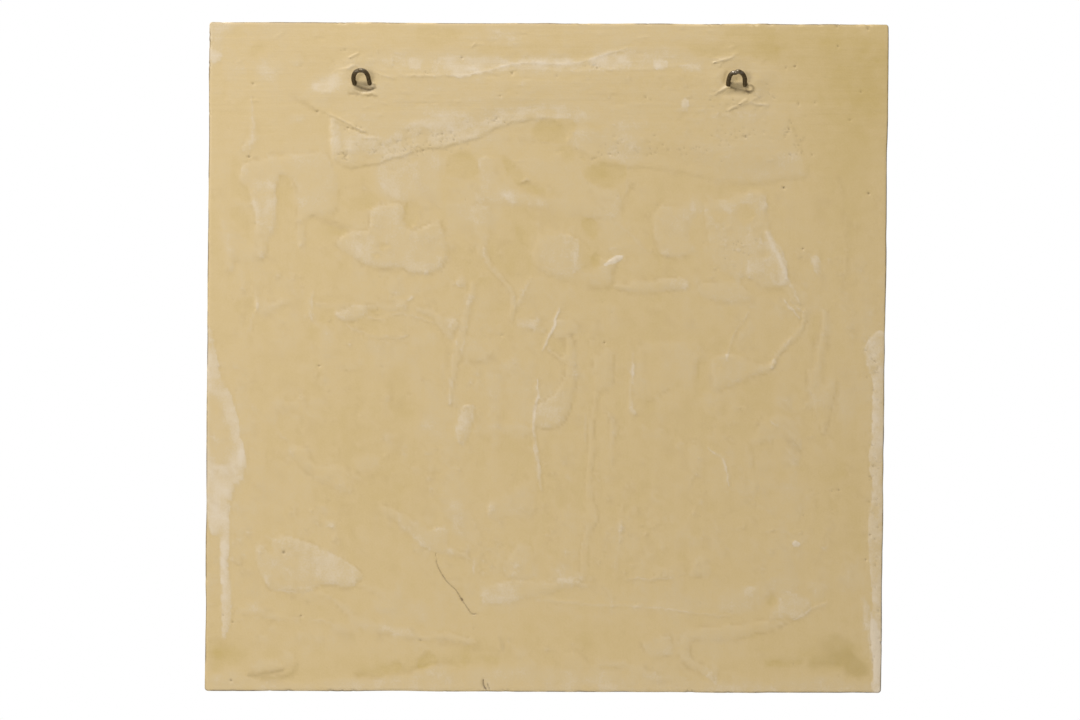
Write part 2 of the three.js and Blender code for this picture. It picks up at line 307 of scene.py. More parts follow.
def lay(mark, pale=0.0, lift=0.0, soft=1.2, rim=0.0, bead=0.0, soil_and_shade=0.0, feather=0.0):
    """Lays one mark of plaster on the sheets.

    pale and soil add to the colour, lift is the step in millimetres, feather the pixels over
    which it thins to its edge, bead a raised lip, and rim the dark line around it.
    """
    where, edge = mark
    cover = ramp(edge, -soft / 2, soft / 2)
    thick = cover * ramp(edge, 0, feather) if feather else cover
    sheets["height"][where] += lift * thick + bead * np.exp(-(((edge - 0.8) / 1.1) ** 2))
    sheets["pale"][where] += pale * cover * worn_through[where]
    sheets["soil_and_shade"][where] += soil_and_shade * cover
    line = rim * line_breaks[where] * np.exp(-(((edge + 0.7) / 0.95) ** 2))
    sheets["rim"][where] = np.maximum(sheets["rim"][where], line)


print("ready to draw on", FINE, "by", FINE, "cells")

# %% [markdown]
# ## The ground coat
#
# Before any patch comes the ground: the plaster was struck off level while wet, which leaves a
# slow swell, and the shellac took darker in some places than others. Only what is broad or
# sharply placed is drawn here. Trowel marks and fine grain come later, in the material.

# %% The swell of the back
sheets["height"] += 0.16 * drift(120, 31) + 0.03 * clouds(34, 34, 33)
sheets["pale"] += 0.12 * drift(95, 41)
print("swell in mm", round(float(sheets["height"].min()), 2), round(float(sheets["height"].max()), 2))

# %% [markdown]
# ## Where the shellac took darker or paler
#
# Broad stains have no edge to speak of. They are soft blots with a centre, a reach across and
# down, and a strength: the head's right corner and the foot's right corner are olive and dark,
# and a warm yellow band runs down inside the left edge.

# %% Broad stains
BLOTS = [
    # centre x, centre y, reach across, reach down, pale
    (860, 55, 60, 60, -0.50), (800, 35, 50, 20, -0.30), (845, 140, 40, 45, -0.30),
    (770, 50, 18, 14, -0.30), (868, 90, 22, 30, -0.30), (840, 205, 50, 40, -0.16),
    (846, 660, 24, 19, -0.50), (815, 655, 26, 12, -0.28), (860, 672, 14, 8, -0.30),
    (226, 652, 20, 10, -0.42), (272, 674, 26, 8, -0.30), (250, 690, 36, 5, -0.15),
    (380, 668, 60, 10, -0.30), (470, 660, 30, 10, -0.22), (560, 655, 50, 10, -0.16),
    (225, 290, 14, 90, -0.10), (300, 420, 60, 70, -0.14), (385, 450, 40, 80, -0.16),
    (216, 240, 5, 60, -0.22), (272, 655, 9, 5, -0.30), (219, 660, 7, 12, -0.30),
    (355, 178, 16, 12, -0.12), (330, 278, 16, 18, -0.08), (718, 190, 28, 5, -0.26),
    (720, 430, 60, 60, -0.10), (850, 500, 20, 90, -0.12), (500, 460, 60, 60, -0.08),
    (215, 60, 14, 50, 0.10), (268, 70, 14, 16, 0.22), (325, 80, 22, 12, 0.18),
    (250, 40, 60, 16, 0.10), (430, 62, 60, 12, 0.16), (540, 60, 90, 9, 0.16),
    (460, 130, 60, 14, 0.16), (600, 640, 60, 8, -0.12), (540, 640, 60, 8, -0.12),
    (545, 20, 380, 14, 0.08), (545, 600, 120, 10, 0.12), (640, 600, 90, 14, 0.12),
    (760, 600, 60, 14, 0.10), (480, 250, 30, 30, -0.05), (330, 640, 40, 12, 0.12),
]
broken = 1 + 0.35 * clouds(9, 9, 51)


def blot(x, y, wide, high):
    """The window of a soft blot and its strength there, 1 in the middle."""
    where = window(np.array([(x - 2 * wide, y - 2 * high), (x + 2 * wide, y + 2 * high)]), 0)
    away = ((WARP_X[where] - x) / wide) ** 2 + ((WARP_Y[where] - y) / high) ** 2
    return where, np.exp(-away) * ramp(-away, -4, -3)


for x, y, wide, high, strength in BLOTS:
    where, cover = blot(x, y, wide, high)
    sheets["pale"][where] += strength * cover * broken[where]
print(len(BLOTS), "stains; paleness from", round(float(sheets["pale"].min()), 2))

# %% [markdown]
# ## Slips too many to trace
#
# Besides the patches that can be told apart, the whole back is clouded with the outlines of
# thin slips and spills, one over another. They follow no plan, so noise may draw them: wherever
# it rises over a level, there is a slip, and the level is its edge. Stretching the noise makes
# them run down the middle of the back, and lie across its foot.

# %% Spills
STEP_IN_PIXELS = 0.59


def spill(field, level, pale, lift, rim, region):
    """Lays a slip wherever a field of noise is over a level."""
    slope = np.hypot(*np.gradient(field)) / STEP_IN_PIXELS
    edge = (field - level) / np.maximum(slope, 0.004)
    cover = ramp(edge, -0.8, 0.8)
    sheets["pale"] += pale * cover * region * worn_through
    sheets["height"] += lift * cover * region
    line = rim * np.exp(-(((edge + 0.7) / 1.0) ** 2)) * region * line_breaks
    sheets["rim"] = np.maximum(sheets["rim"], line)


def flow(wide, high, seed):
    """Noise in blots of about wide by high pixels, bent by slower noise."""
    px = WARP_X + 9 * clouds(30, 30, seed + 3)
    py = WARP_Y + 9 * clouds(30, 30, seed + 4)
    rough = clouds(wide * 0.35, high * 0.35, seed + 1, px, py)
    return 0.72 * clouds(wide, high, seed, px, py) + 0.28 * rough


body_share = ramp(PY, 150, 200) * (1 - ramp(PY, 575, 620))
low_share = ramp(PY, 560, 610)
high_share = 1 - ramp(PY, 150, 190)
spill(flow(26, 30, 101), 0.30, 0.09, 0.05, 0.12, body_share)
spill(flow(14, 44, 111), 0.34, 0.11, 0.06, 0.16, body_share * ramp(PY, 300, 360))
spill(flow(9, 11, 121), 0.50, 0.14, 0.06, 0.18, body_share)
spill(flow(60, 12, 131), 0.30, 0.10, 0.05, 0.12, low_share)
spill(flow(50, 9, 141), 0.30, 0.10, 0.04, 0.06, high_share)
spill(-flow(34, 26, 151), 0.34, -0.08, -0.03, 0.0, body_share + 0.5 * low_share)
spill(-flow(18, 14, 161), 0.44, -0.08, -0.02, 0.0, 1.0)
print("spills drawn; paleness to", round(float(sheets["pale"].max()), 2))

# %% [markdown]
# ## The coat that beds the loops
#
# A fresh coat of plaster was spread over the head of the back to bed the two wire loops. It
# feathers out at the top, and ends below in a torn lip. Its outline is the solid's, drawn a
# little closer, and it stands just under a millimetre proud. Above it, the back falls away a
# little to its top edge.

# %% The bedding coat
BEDDING_COAT, COAT_LIP, COAT_PALE, COAT_POOL_AND_SHADE = 0.85, 0.42, 0.12, 0.16
HEAD_FALL = 0.7
COAT_OUTLINE = (
    "331,66 350,52 420,50 520,56 620,47 700,52 760,56 783,70 776,104 789,118 797,140 805,160 806,177 "
    "783,180 757,184 728,183 700,176 671,170 643,167 623,167 600,161 580,151 568,143 566,130 545,119 "
    "522,121 503,126 478,138 460,143 440,148 416,151 396,159 369,165 347,168 334,158 331,140 331,118 "
    "318,110 300,98 312,84"
)
sheets["height"] -= HEAD_FALL * (1 - ramp(PY, 20, 52)) * ramp(PX, 250, 340)
where, edge = patch_edge(marked(COAT_OUTLINE))
worn_right = 1 - 0.35 * ramp(PX[where], 470, 640)
lip = ramp(PY[where], 98, 120) * ramp(edge, -0.8, 1.0) * worn_right
spread_out = ramp(edge, 0, 30) * ramp(PY[where], 45, 75)
sheets["height"][where] += BEDDING_COAT * np.maximum(COAT_LIP * lip, spread_out)
sheets["pale"][where] += COAT_PALE * ramp(edge, -1, 5) * worn_through[where]
# The dark line along the coat's lower lip and sides is partly pooled shellac and partly painted shade under
# the lip.
pool_and_shade_line = np.exp(-(((edge + 0.8) / 1.0) ** 2)) * line_breaks[where]
pool_and_shade_line = COAT_POOL_AND_SHADE * worn_right * pool_and_shade_line * ramp(PY[where], 100, 120)
sheets["rim"][where] = np.maximum(sheets["rim"][where], pool_and_shade_line)
print("coat's highest point in mm", round(float(sheets["height"].max()), 2))

# %% [markdown]
# ## Slips and patches
#
# Each row is one patch: its name, how pale it dried, how thick it is in millimetres, the dark line around
# it, and its outline. A negative one is a hollow, or a place where the shellac took darker, and a row named
# shade is painted shade over a shallow hollow. Thin slips are only a third of a millimetre thick, but raking
# light finds them. A smear is a patch that was wiped out thin, so it has hardly any edge.

# %% Patches at the upper left
PATCHES = [
    ("inverted_u", 0.22, 0.3, 0.3,
     "245,162 258,160 275,157 300,154 322,152 330,158 333,172 338,184 338,200 334,212 322,218 "
     "312,216 304,226 306,244 298,246 297,215 297,190 290,178 283,175 278,182 277,205 276,226 "
     "270,240 264,258 256,256 255,240 256,222 252,204 248,188 240,180 241,170"),
    ("u_column", 0.2, 0.12, 0.05, "252,184 262,182 276,184 276,215 273,232 267,243 258,240 256,220"),
    ("u_light", 0.16, 0.06, 0, "302,196 316,192 326,198 334,206 322,214 304,212"),
    ("left_wedge", 0.12, 0.2, 0.26,
     "219,228 230,226 240,234 252,245 262,250 263,258 254,262 240,261 234,264 232,272 227,270 "
     "226,250"),
    ("left_streak", 0.2, 0.12, 0.06, "226,236 232,238 234,262 232,272 228,268"),
    ("left_patch", 0.12, 0.1, 0.08, "219,192 232,190 235,205 230,222 222,232 218,215"),
    ("olive_leaf", -0.24, -0.12, 0, "234,206 244,208 249,222 250,238 240,230 232,218"),
    ("olive_head", -0.22, -0.1, 0, "232,158 242,160 240,178 247,184 250,200 240,198 230,186"),
    ("notch", -0.26, -0.12, 0.1, "279,178 284,175 291,180 292,192 290,205 281,206 278,195"),
    ("notch_tail", -0.12, -0.06, 0, "279,206 295,206 297,232 286,245 276,240 278,222"),
    ("finger_hole", -0.3, -0.12, 0.1, "328,226 338,227 348,228 342,235 332,233"),
    ("pouch", 0.26, 0.42, 0.44,
     "337,241 345,234 356,231 367,231 371,222 370,212 377,206 388,204 400,203 404,214 406,226 "
     "413,230 424,226 436,222 442,226 445,240 447,252 446,263 438,271 424,274 411,273 400,268 "
     "384,269 371,266 360,261 348,254 340,248"),
    ("pouch_bottom", 0.14, 0.05, 0,
     "345,240 365,240 372,250 380,262 400,262 425,262 440,258 440,268 424,272 400,267 375,265 "
     "355,256"),
    ("pouch_hole", -0.4, -0.34, 0.25, "378,244 384,242 391,245 388,249 381,250"),
    ("pouch_hole_low", -0.36, -0.3, 0.25, "373,255 377,253 379,256 375,258"),
    ("pouch_curl", -0.32, -0.28, 0.25, "405,203 413,201 419,207 420,218 414,227 408,224 403,214"),
    ("pouch_head", 0.28, 0.14, 0.1,
     "380,160 400,154 420,152 440,154 442,170 441,190 436,200 420,198 404,200 388,199 379,190 "
     "377,175"),
    ("yellow_patch", -0.28, -0.08, 0, "346,206 350,198 360,194 374,194 378,203 368,210 354,210"),
    ("round_slip", 0.24, 0.22, 0.16, "386,285 389,278 396,275 403,280 404,288 398,294 390,292"),
    ("shelf_band", -0.18, -0.06, 0.14, "318,297 350,297 352,302 318,302"),
    ("shelf_left", 0.14, 0.25, 0.28, "318,303 352,302 352,307 336,308 318,307"),
    ("drip_star", 0.26, 0.3, 0.26,
     "256,296 262,299 272,303 284,299 290,302 280,306 272,312 264,316 258,312 255,305"),
    ("dark_nest", -0.16, -0.12, 0.12, "238,300 252,299 257,306 254,314 243,315 236,308"),
    ("short_olive", -0.3, -0.08, 0, "309,324 314,323 317,332 313,338 309,334"),
    ("dark_pocket", -0.24, -0.12, 0.12, "320,309 334,308 336,316 332,325 322,322 319,315"),
    ("shelf_lobe", 0.36, 0.38, 0.4,
     "336,313 346,308 353,305 365,304 368,309 364,316 356,321 348,322 340,319"),
    ("shelf_mid", 0.22, 0.28, 0.34,
     "368,304 384,303 396,301 404,300 408,306 400,310 390,312 380,307 370,309"),
    ("shelf_eye", -0.46, -0.2, 0.35, "371,311 378,309 385,311 379,314"),
    ("shelf_right", 0.28, 0.34, 0.4,
     "418,307 430,307 438,312 447,318 456,320 459,326 454,332 450,340 443,332 438,324 430,315 "
     "420,313"),
    ("under_shelf", -0.14, -0.08, 0.08, "350,322 372,320 400,320 404,330 380,334 360,330"),
]
print(len(PATCHES), "so far")

# %% [markdown]
# ## Patches at the upper right
#
# Here the slips are bigger: a long arc under the coat, a cheek and a crossbar below it, and at
# the right one broad slip that narrows to a drip.

# %% Patches at the upper right
PATCHES += [
    ("arc", 0.22, 0.22, 0.24,
     "478,160 486,156 494,162 498,176 508,186 524,191 542,196 560,198 580,196 600,188 616,188 "
     "621,198 620,210 612,219 598,219 580,216 562,217 546,214 534,207 520,204 504,203 490,204 "
     "478,203 474,194 482,184 480,172"),
    ("arc_top", 0.16, 0.12, 0.06,
     "520,158 545,156 570,158 585,164 588,176 598,186 580,196 560,196 548,186 534,178 522,168"),
    ("arc_bright", 0.18, 0.05, 0, "506,193 520,192 534,197 545,204 536,206 522,203 508,201"),
    ("olive_streak", -0.38, -0.22, 0.15,
     "502,158 511,160 519,170 526,180 536,186 545,190 536,193 522,188 513,178 506,168"),
    ("olive_patch", -0.36, -0.14, 0.12,
     "583,173 592,165 608,162 624,165 628,173 623,183 608,187 596,185 587,181"),
    ("olive_crown", -0.34, -0.14, 0.12,
     "449,156 460,151 470,152 477,160 478,172 472,178 460,178 448,174"),
    ("yellow_below", -0.2, -0.05, 0, "442,178 452,180 456,192 450,202 446,232 440,225 441,200"),
    ("bright_cheek", 0.1, 0.16, 0, "636,196 642,188 652,186 656,200 650,214 640,212"),
    ("y_stem", 0.26, 0.24, 0.24,
     "472,206 485,206 491,214 490,228 487,244 484,256 478,254 474,240 472,222"),
    ("yellow_inner", -0.26, -0.12, 0.12,
     "504,206 528,208 536,216 533,232 527,247 520,240 513,226 507,216"),
    ("olive_inner", -0.14, -0.06, 0.05,
     "490,244 510,238 526,244 532,262 526,274 510,274 496,268 489,258"),
    ("yellow_low", -0.22, -0.04, 0, "477,280 490,277 494,283 482,287"),
    ("cheek", 0.1, 0.32, 0.38,
     "530,256 534,244 540,234 552,228 566,234 578,240 590,250 604,258 618,262 612,274 611,286 "
     "598,288 583,285 566,280 548,275 538,268 531,262"),
    ("cheek_lilac", 0.24, 0.14, 0.06,
     "538,244 546,234 560,234 577,240 579,256 577,270 562,276 548,271 540,260"),
    ("cheek_low", 0.2, 0.14, 0.14, "581,278 588,270 602,265 616,262 611,273 608,285 596,284 586,282"),
    ("cheek_gap", -0.22, -0.16, 0.1, "579,242 588,246 594,256 600,262 590,270 584,272 580,258"),
    ("olive_knot", -0.4, -0.18, 0.18, "582,220 592,218 598,224 598,234 592,240 585,232"),
    ("olive_knot_low", -0.34, -0.14, 0.14, "594,252 599,255 598,264 591,263"),
    ("creases", 0.12, 0.16, 0.06, "604,222 622,218 634,232 646,248 652,256 640,256 618,252 606,242"),
    ("spark", 0.85, 0.42, 0.1, "603,264.5 610,259 616,255.5 624,256 620,261.5 611,264"),
    ("under_spark", 0.16, 0.15, 0.1, "626,266 640,256 654,255 655,266 646,272 632,272"),
    ("lens", 0.34, 0.36, 0.44,
     "616,289 616,282 626,284 640,280 652,281 664,278 680,278 690,285 680,290 660,292 636,292"),
    ("small_lens", 0.26, 0.3, 0.34,
     "698,288 700,283 712,282 737,284 746,288 752,294 744,301 730,303 712,300 703,295"),
    ("little_round", 0.42, 0.26, 0.32, "456,280 460,276 465,279 465,284 460,286 456,284"),
    ("crossbar", 0.3, 0.3, 0.34, "519,318 530,317 540,319 541,326 545,332 540,333 530,328 518,326"),
    ("hook_head", 0.22, 0.3, 0.34, "556,320 566,318 577,322 577,332 568,337 556,338 553,331"),
    ("mid_slip", 0.12, 0.1, 0.08, "526,284 538,276 548,282 546,300 530,306 522,300"),
    ("mid_square", 0.12, 0.08, 0.06, "561,290 576,290 576,304 561,303"),
    ("post_band", 0.14, 0.1, 0.06, "611,306 618,306 618,334 611,335"),
    ("big_slip", 0.26, 0.32, 0.26,
     "703,206 712,200 725,200 735,196 748,192 760,191 767,196 768,215 769,228 775,240 783,247 "
     "785,258 788,270 787,286 766,288 757,281 745,277 737,281 729,275 719,268 712,258 709,240 "
     "706,222"),
    ("big_slip_top", 0.22, 0.08, 0,
     "704,212 712,203 724,201 736,203 747,194 760,192 767,198 766,214 756,204 742,206 728,212 "
     "716,208"),
    ("big_slip_side", 0.24, 0.08, 0,
     "764,232 770,232 778,243 784,252 787,270 786,284 772,286 768,272 750,272 745,264 752,256 "
     "768,256"),
    ("big_slip_worn", -0.34, -0.12, 0.08, "736,208 748,205 756,212 752,222 744,226 736,220"),
    ("big_slip_worn_2", -0.22, -0.08, 0.06, "714,214 724,212 726,220 716,222"),
    ("box_slip", 0.3, 0.28, 0.34,
     "655,212 661,205 672,207 690,204 693,212 689,224 689,238 694,250 682,257 664,257 657,248 "
     "653,230"),
    ("box_top", 0.24, 0.12, 0.06, "690,198 697,195 702,202 702,212 692,212"),
    ("right_pale", 0.2, 0.24, 0.12, "784,286 796,284 806,290 808,304 800,306 790,300"),
    ("corner_patch", 0.22, 0.15, 0.12, "769,309 778,306 786,311 784,318 774,319"),
    ("triangle", 0.18, 0.12, 0.08, "741,332 748,322 752,320 752,336 743,338"),
    ("drip_foot", 0.26, 0.32, 0.36,
     "712,360 722,354 734,353 746,358 758,362 768,364 774,358 778,364 770,371 756,375 742,382 "
     "726,388 713,389 711,376"),
    ("side_drip", 0.22, 0.32, 0.4,
     "822,310 828,314 829,330 828,345 824,356 822,372 823,386 833,380 836,388 831,405 828,425 "
     "823,434 818,420 812,402 808,386 808,368 815,367 817,352 820,330"),
    ("side_olive", -0.28, -0.12, 0.08, "810,318 817,314 818,334 814,345 809,336"),
    ("side_blob", 0.42, 0.26, 0.16, "812,257 818,256 821,264 818,273 813,270"),
    ("side_curls", 0.16, 0.14, 0.16, "838,278 846,266 858,254 866,262 862,270 850,272"),
    ("side_oval", 0.14, 0.12, 0.18, "812,198 822,195 828,200 822,206 813,205"),
]
print(len(PATCHES), "so far")

# %% [markdown]
# ## Patches of the middle
#
# Lower down the slips ran. They are long, narrow and worn, with bare plaster between them.

# %% Patches of the middle
PATCHES += [
    ("side_arch", 0.22, 0.26, 0.26,
     "756,436 757,426 764,418 776,414 790,417 797,427 802,440 800,451 791,444 784,439 772,438 "
     "762,443 752,446 752,464 745,466 744,450 746,442"),
    ("pink_slip", 0.26, 0.2, 0.2, "787,450 792,446 800,452 801,462 797,468 789,465"),
    ("triangle_low", 0.22, 0.15, 0.12, "741,494 748,484 757,481 759,492 750,496"),
    ("oval_trace", 0.08, 0.14, 0.28, "653,437 660,428 667,432 668,443 663,452 655,451"),
    ("mottled_slip", 0.2, 0.14, 0.14, "688,448 696,445 704,452 704,464 700,476 692,472 688,460"),
    ("skirt_low", 0.2, 0.16, 0.14, "656,396 672,392 684,400 686,412 674,417 660,416"),
    ("skirt_low_right", 0.18, 0.14, 0.12, "700,400 712,394 722,400 723,414 708,415 700,410"),
    ("plain_skirt", 0.22, 0.24, 0.3,
     "638,348 644,343 664,341 694,343 704,349 706,358 698,362 696,380 690,388 676,384 664,392 "
     "650,400 640,398 633,388 632,366"),
    ("skirt_gap", -0.22, -0.12, 0.14, "697,362 706,358 708,372 706,394 698,396 696,380"),
    ("drip_head", 0.2, 0.3, 0.4,
     "599,352 606,347 612,352 613,372 611,386 604,392 596,390 593,374 594,360"),
    ("hook", 0.2, 0.4, 0.46,
     "547,344 553,350 562,357 566,350 566,338 571,335 575,350 576,370 575,388 571,408 566,420 "
     "556,427 543,428 535,424 534,414 538,405 546,400 553,396 558,388 564,376 565,364 556,357 "
     "549,350"),
    ("hook_bottom", 0.18, 0.05, 0, "537,412 550,408 565,404 571,400 567,418 556,425 543,426 536,421"),
    ("left_leaf", 0.24, 0.22, 0.28, "500,428 511,424 524,426 533,432 522,437 508,436"),
    ("mid_column", 0.22, 0.2, 0.18,
     "489,372 497,371 500,384 499,400 502,420 500,446 492,450 488,430 490,405 487,388"),
    ("mid_column_top", 0.2, 0.18, 0.18, "499,372 508,362 516,358 519,366 509,374 501,379"),
    ("drip_wing", 0.26, 0.28, 0.36, "464,338 470,336 478,346 489,355 487,362 476,360 464,363 461,352"),
    ("drip_blob", 0.44, 0.32, 0.24, "459,410 466,404 474,406 472,421 469,435 462,446 456,437 457,421"),
    ("low_slip", 0.22, 0.22, 0.22,
     "488,506 498,498 510,494 514,484 524,484 532,497 535,512 528,520 512,514 498,520 488,518"),
    ("speckled_slip", 0.22, 0.18, 0.16, "446,503 456,500 464,508 463,524 451,524 445,514"),
    ("speckled_slip_up", 0.14, 0.12, 0.12, "446,472 456,466 462,474 460,496 450,498 445,486"),
    ("left_field", 0.16, 0.1, 0.05,
     "412,336 434,332 436,360 438,400 440,440 428,448 422,420 416,395 410,370"),
    ("hook_left", 0.2, 0.2, 0.22, "273,403 282,400 294,400 302,393 306,402 300,411 286,413 276,411"),
    ("pale_post", 0.14, 0.1, 0.05, "321,334 336,334 339,360 338,398 328,400 322,380"),
    ("pale_post_low", 0.18, 0.14, 0.08, "306,402 318,396 326,402 322,424 312,426 306,414"),
    ("slant_upper", 0.22, 0.32, 0.36,
     "287,450 300,447 308,450 312,462 325,465 338,466 350,470 360,476 352,483 352,494 340,490 "
     "322,481 305,469 296,459"),
    ("slant_upper_right", 0.2, 0.18, 0.14, "352,456 362,450 374,452 378,460 372,470 358,472"),
    ("post_right", 0.16, 0.12, 0.06, "384,412 391,412 392,440 390,466 385,466"),
    ("slant_lower", 0.26, 0.32, 0.36,
     "376,502 384,506 400,512 412,518 424,527 446,529 448,546 464,552 470,560 456,556 436,552 "
     "420,544 408,534 396,522 384,514"),
    ("fin", 0.42, 0.38, 0.44,
     "255,546 262,545 268,553 273,551 271,541 277,536 288,536 302,540 316,545 332,553 346,561 "
     "358,570 362,577 352,586 338,586 322,584 312,590 296,593 280,591 268,587 262,576 257,562"),
    ("fin_bright", 0.03, 0.03, 0, "318,550 334,556 350,566 360,576 350,582 330,580 316,572"),
    ("fin_tail", 0.12, 0.24, 0.3, "284,591 300,592 316,590 330,596 330,602 316,603 302,599 290,595"),
    ("fin_shade", -0.14, -0.12, 0.14, "322,584 338,585 346,590 340,600 330,596 322,590"),
    ("fin_point", 0.18, 0.24, 0.18,
     "352,584 364,582 378,588 392,590 400,594 402,606 390,612 376,611 372,602 380,596 366,589"),
    ("point_low", 0.16, 0.16, 0.14, "402,604 412,602 424,606 432,612 424,617 408,612"),
    ("pale_shelf", 0.25, 0.34, 0.2,
     "481,603 482,590 490,584 504,581 520,580 536,581 552,582 562,579 576,581 590,586 570,588 "
     "548,594 534,597 525,597 516,601 500,603.5 486,604"),
    ("shelf_bright", 0.12, 0.05, 0, "483,600 486,588 504,584 524,586 526,596 514,600 498,602"),
    ("shelf_hill", 0.22, 0.18, 0.16, "553,566 560,560 572,568 584,576 580,584 566,584 554,580"),
    ("arch_slip", 0.24, 0.24, 0.26,
     "505,576 506,562 510,553 517,546 526,543 532,550 533,566 535,578 520,580"),
]
print(len(PATCHES), "so far")

# %% [markdown]
# ## Patches of the foot and the edges
#
# Along the foot the slips lie across instead, with dark pockets between them. The side edges
# carry long rubbed slips.

# %% Patches of the foot and the edges
PATCHES += [
    ("foot_left_slip", 0.24, 0.28, 0.32,
     "330,599 342,602 352,611 362,617 380,623 398,628 412,630 424,635 446,633 466,636 478,642 "
     "462,644 440,640 424,641 408,638 394,634 376,632 360,629 352,634 336,633 332,624 346,622 "
     "350,618 340,608"),
    ("foot_left_rail", 0.26, 0.28, 0.3,
     "237,609 254,606 268,610 280,614 294,616 300,620 286,621 270,618 254,614 240,613"),
    ("swirl_slip", 0.18, 0.22, 0.26, "254,664 268,660 284,664 284,669 268,671 254,671"),
    ("swirl_ring", 0.22, 0.24, 0.32, "282,655 288,651 294,655 295,663 289,667 283,663"),
    ("corner_olive", -0.26, -0.12, 0.12, "214,645 226,643 246,650 246,660 230,664 216,672 212,660"),
    ("foot_pocket", -0.28, -0.2, 0.28,
     "357,673 372,669 388,664 398,662 402,668 394,674 376,677 360,677"),
    ("foot_pocket_2", -0.5, -0.24, 0.3, "417,664 424,655 434,655 437,662 428,668 418,669"),
    ("foot_wedge", -0.34, -0.14, 0.18, "462,648 470,646 471,656 464,664 460,658"),
    ("foot_wedge_2", -0.26, -0.12, 0.14, "484,656 494,656 498,668 490,670 486,663"),
    ("foot_spot", 0.26, 0.2, 0.16, "512,648 520,646 527,649 527,655 518,657 512,654"),
    ("foot_grit", 0.2, 0.15, 0.1, "518,657 530,657 538,664 534,672 522,668"),
    ("ring_oval", 0.16, 0.24, 0.34, "555,656 565,651 578,652 586,660 590,668 578,669 566,665 558,662"),
    ("foot_rail", 0.26, 0.26, 0.32,
     "589,664 600,661 618,662 634,665 648,669 664,675 690,678 660,680 640,675 622,669 604,667 "
     "592,667"),
    ("foot_lens", 0.24, 0.28, 0.34, "642,645 650,642 662,639 669,637 673,645 670,655 657,657 648,653"),
    ("foot_blob", 0.28, 0.28, 0.26, "690,577 694,562 700,556 707,560 711,574 706,577"),
    ("foot_blob_left", 0.22, 0.22, 0.2,
     "655,566 662,568 672,571 673,577 660,580 646,582 642,578 654,577"),
    ("foot_cloud_1", 0.22, 0.16, 0.1,
     "718,602 722,594 736,592 750,584 766,583 780,576 798,580 796,592 780,594 770,594 762,600 "
     "750,610 734,614 722,610"),
    ("foot_cloud_2", 0.28, 0.14, 0.08, "744,590 752,584 758,588 748,596"),
    ("foot_cloud_3", 0.14, 0.14, 0.06,
     "656,602 672,600 688,596 694,604 690,618 680,624 664,616 655,610"),
    ("foot_right_slip", 0.36, 0.26, 0.2,
     "781,596 790,592 803,596 811,606 808,614 796,621 784,618 772,622 770,612 778,606"),
    ("foot_eye", -0.4, -0.28, 0.32, "766,600 771,595 776,599 774,606 768,606"),
    ("foot_tip", 0.24, 0.2, 0.22, "812,590 818,582 825,582 828,592 822,600 814,600"),
    ("foot_streak", 0.2, 0.14, 0.14, "838,590 844,574 852,566 858,566 850,580 843,592"),
    ("swoosh", 0.22, 0.32, 0.4,
     "701,627 720,626 744,624 766,620 786,622 802,614 814,606 828,601 824,606 808,613 796,620 "
     "782,625 764,632 746,637 726,641 707,642 697,640 691,645 690,655 697,662 706,666 713,672 "
     "712,680 706,676 698,671 688,668 681,661 678,650 680,639 687,631"),
    ("fork", 0.36, 0.26, 0.22, "706,677 711,668 719,665 717,674 716,682"),
    ("left_edge_slip", 0.52, 0.3, 0.16,
     "207,330 213,335 217,355 221,375 229,390 234,405 239,420 239,435 243,445 245,465 243,478 "
     "236,485 232,495 230,515 229,560 232,600 232,615 228,635 223,640 222,615 220,565 219,537 "
     "209,529 204,480 204,400"),
    ("left_edge_worn", -0.36, -0.08, 0.05, "209,398 218,400 226,420 232,445 228,462 214,464 209,440"),
    ("left_edge_bright", 0.22, 0.05, 0,
     "206,468 222,466 232,474 238,466 236,448 243,447 244,466 238,482 230,492 228,520 227,580 "
     "229,620 224,620 221,560 220,536 208,528"),
    ("left_edge_flap", 0.24, 0.14, 0.12, "232,502 239,500 240,506 233,509"),
    ("right_edge_slip", 0.62, 0.3, 0.2,
     "888,342 866,344 868,370 872,382 872,400 871,440 868,450 870,470 873,490 869,520 868,545 "
     "870,580 872,610 871,640 873,672 870,684 884,686 890,500"),
    ("right_foot_wedge", 0.44, 0.26, 0.16,
     "861,598 866,600 872,612 878,630 881,660 880,682 873,680 870,662 868,640 864,620"),
    ("foot_slip", 0.3, 0.22, 0.1,
     "208,678 230,672 262,681 300,683 330,680 360,678 396,676 420,671 440,664 460,668 480,660 "
     "500,668 520,668 560,670 600,669 650,678 710,681 800,680 830,671 842,672 846,682 872,684 "
     "878,694 600,695 208,695"),
]
print(len(PATCHES), "so far")

# %% [markdown]
# ## Patches of the head
#
# The trowel went over the head again and again, so most patches there are faint smears, olive
# where little slip is left and a greyish lilac where there is more.

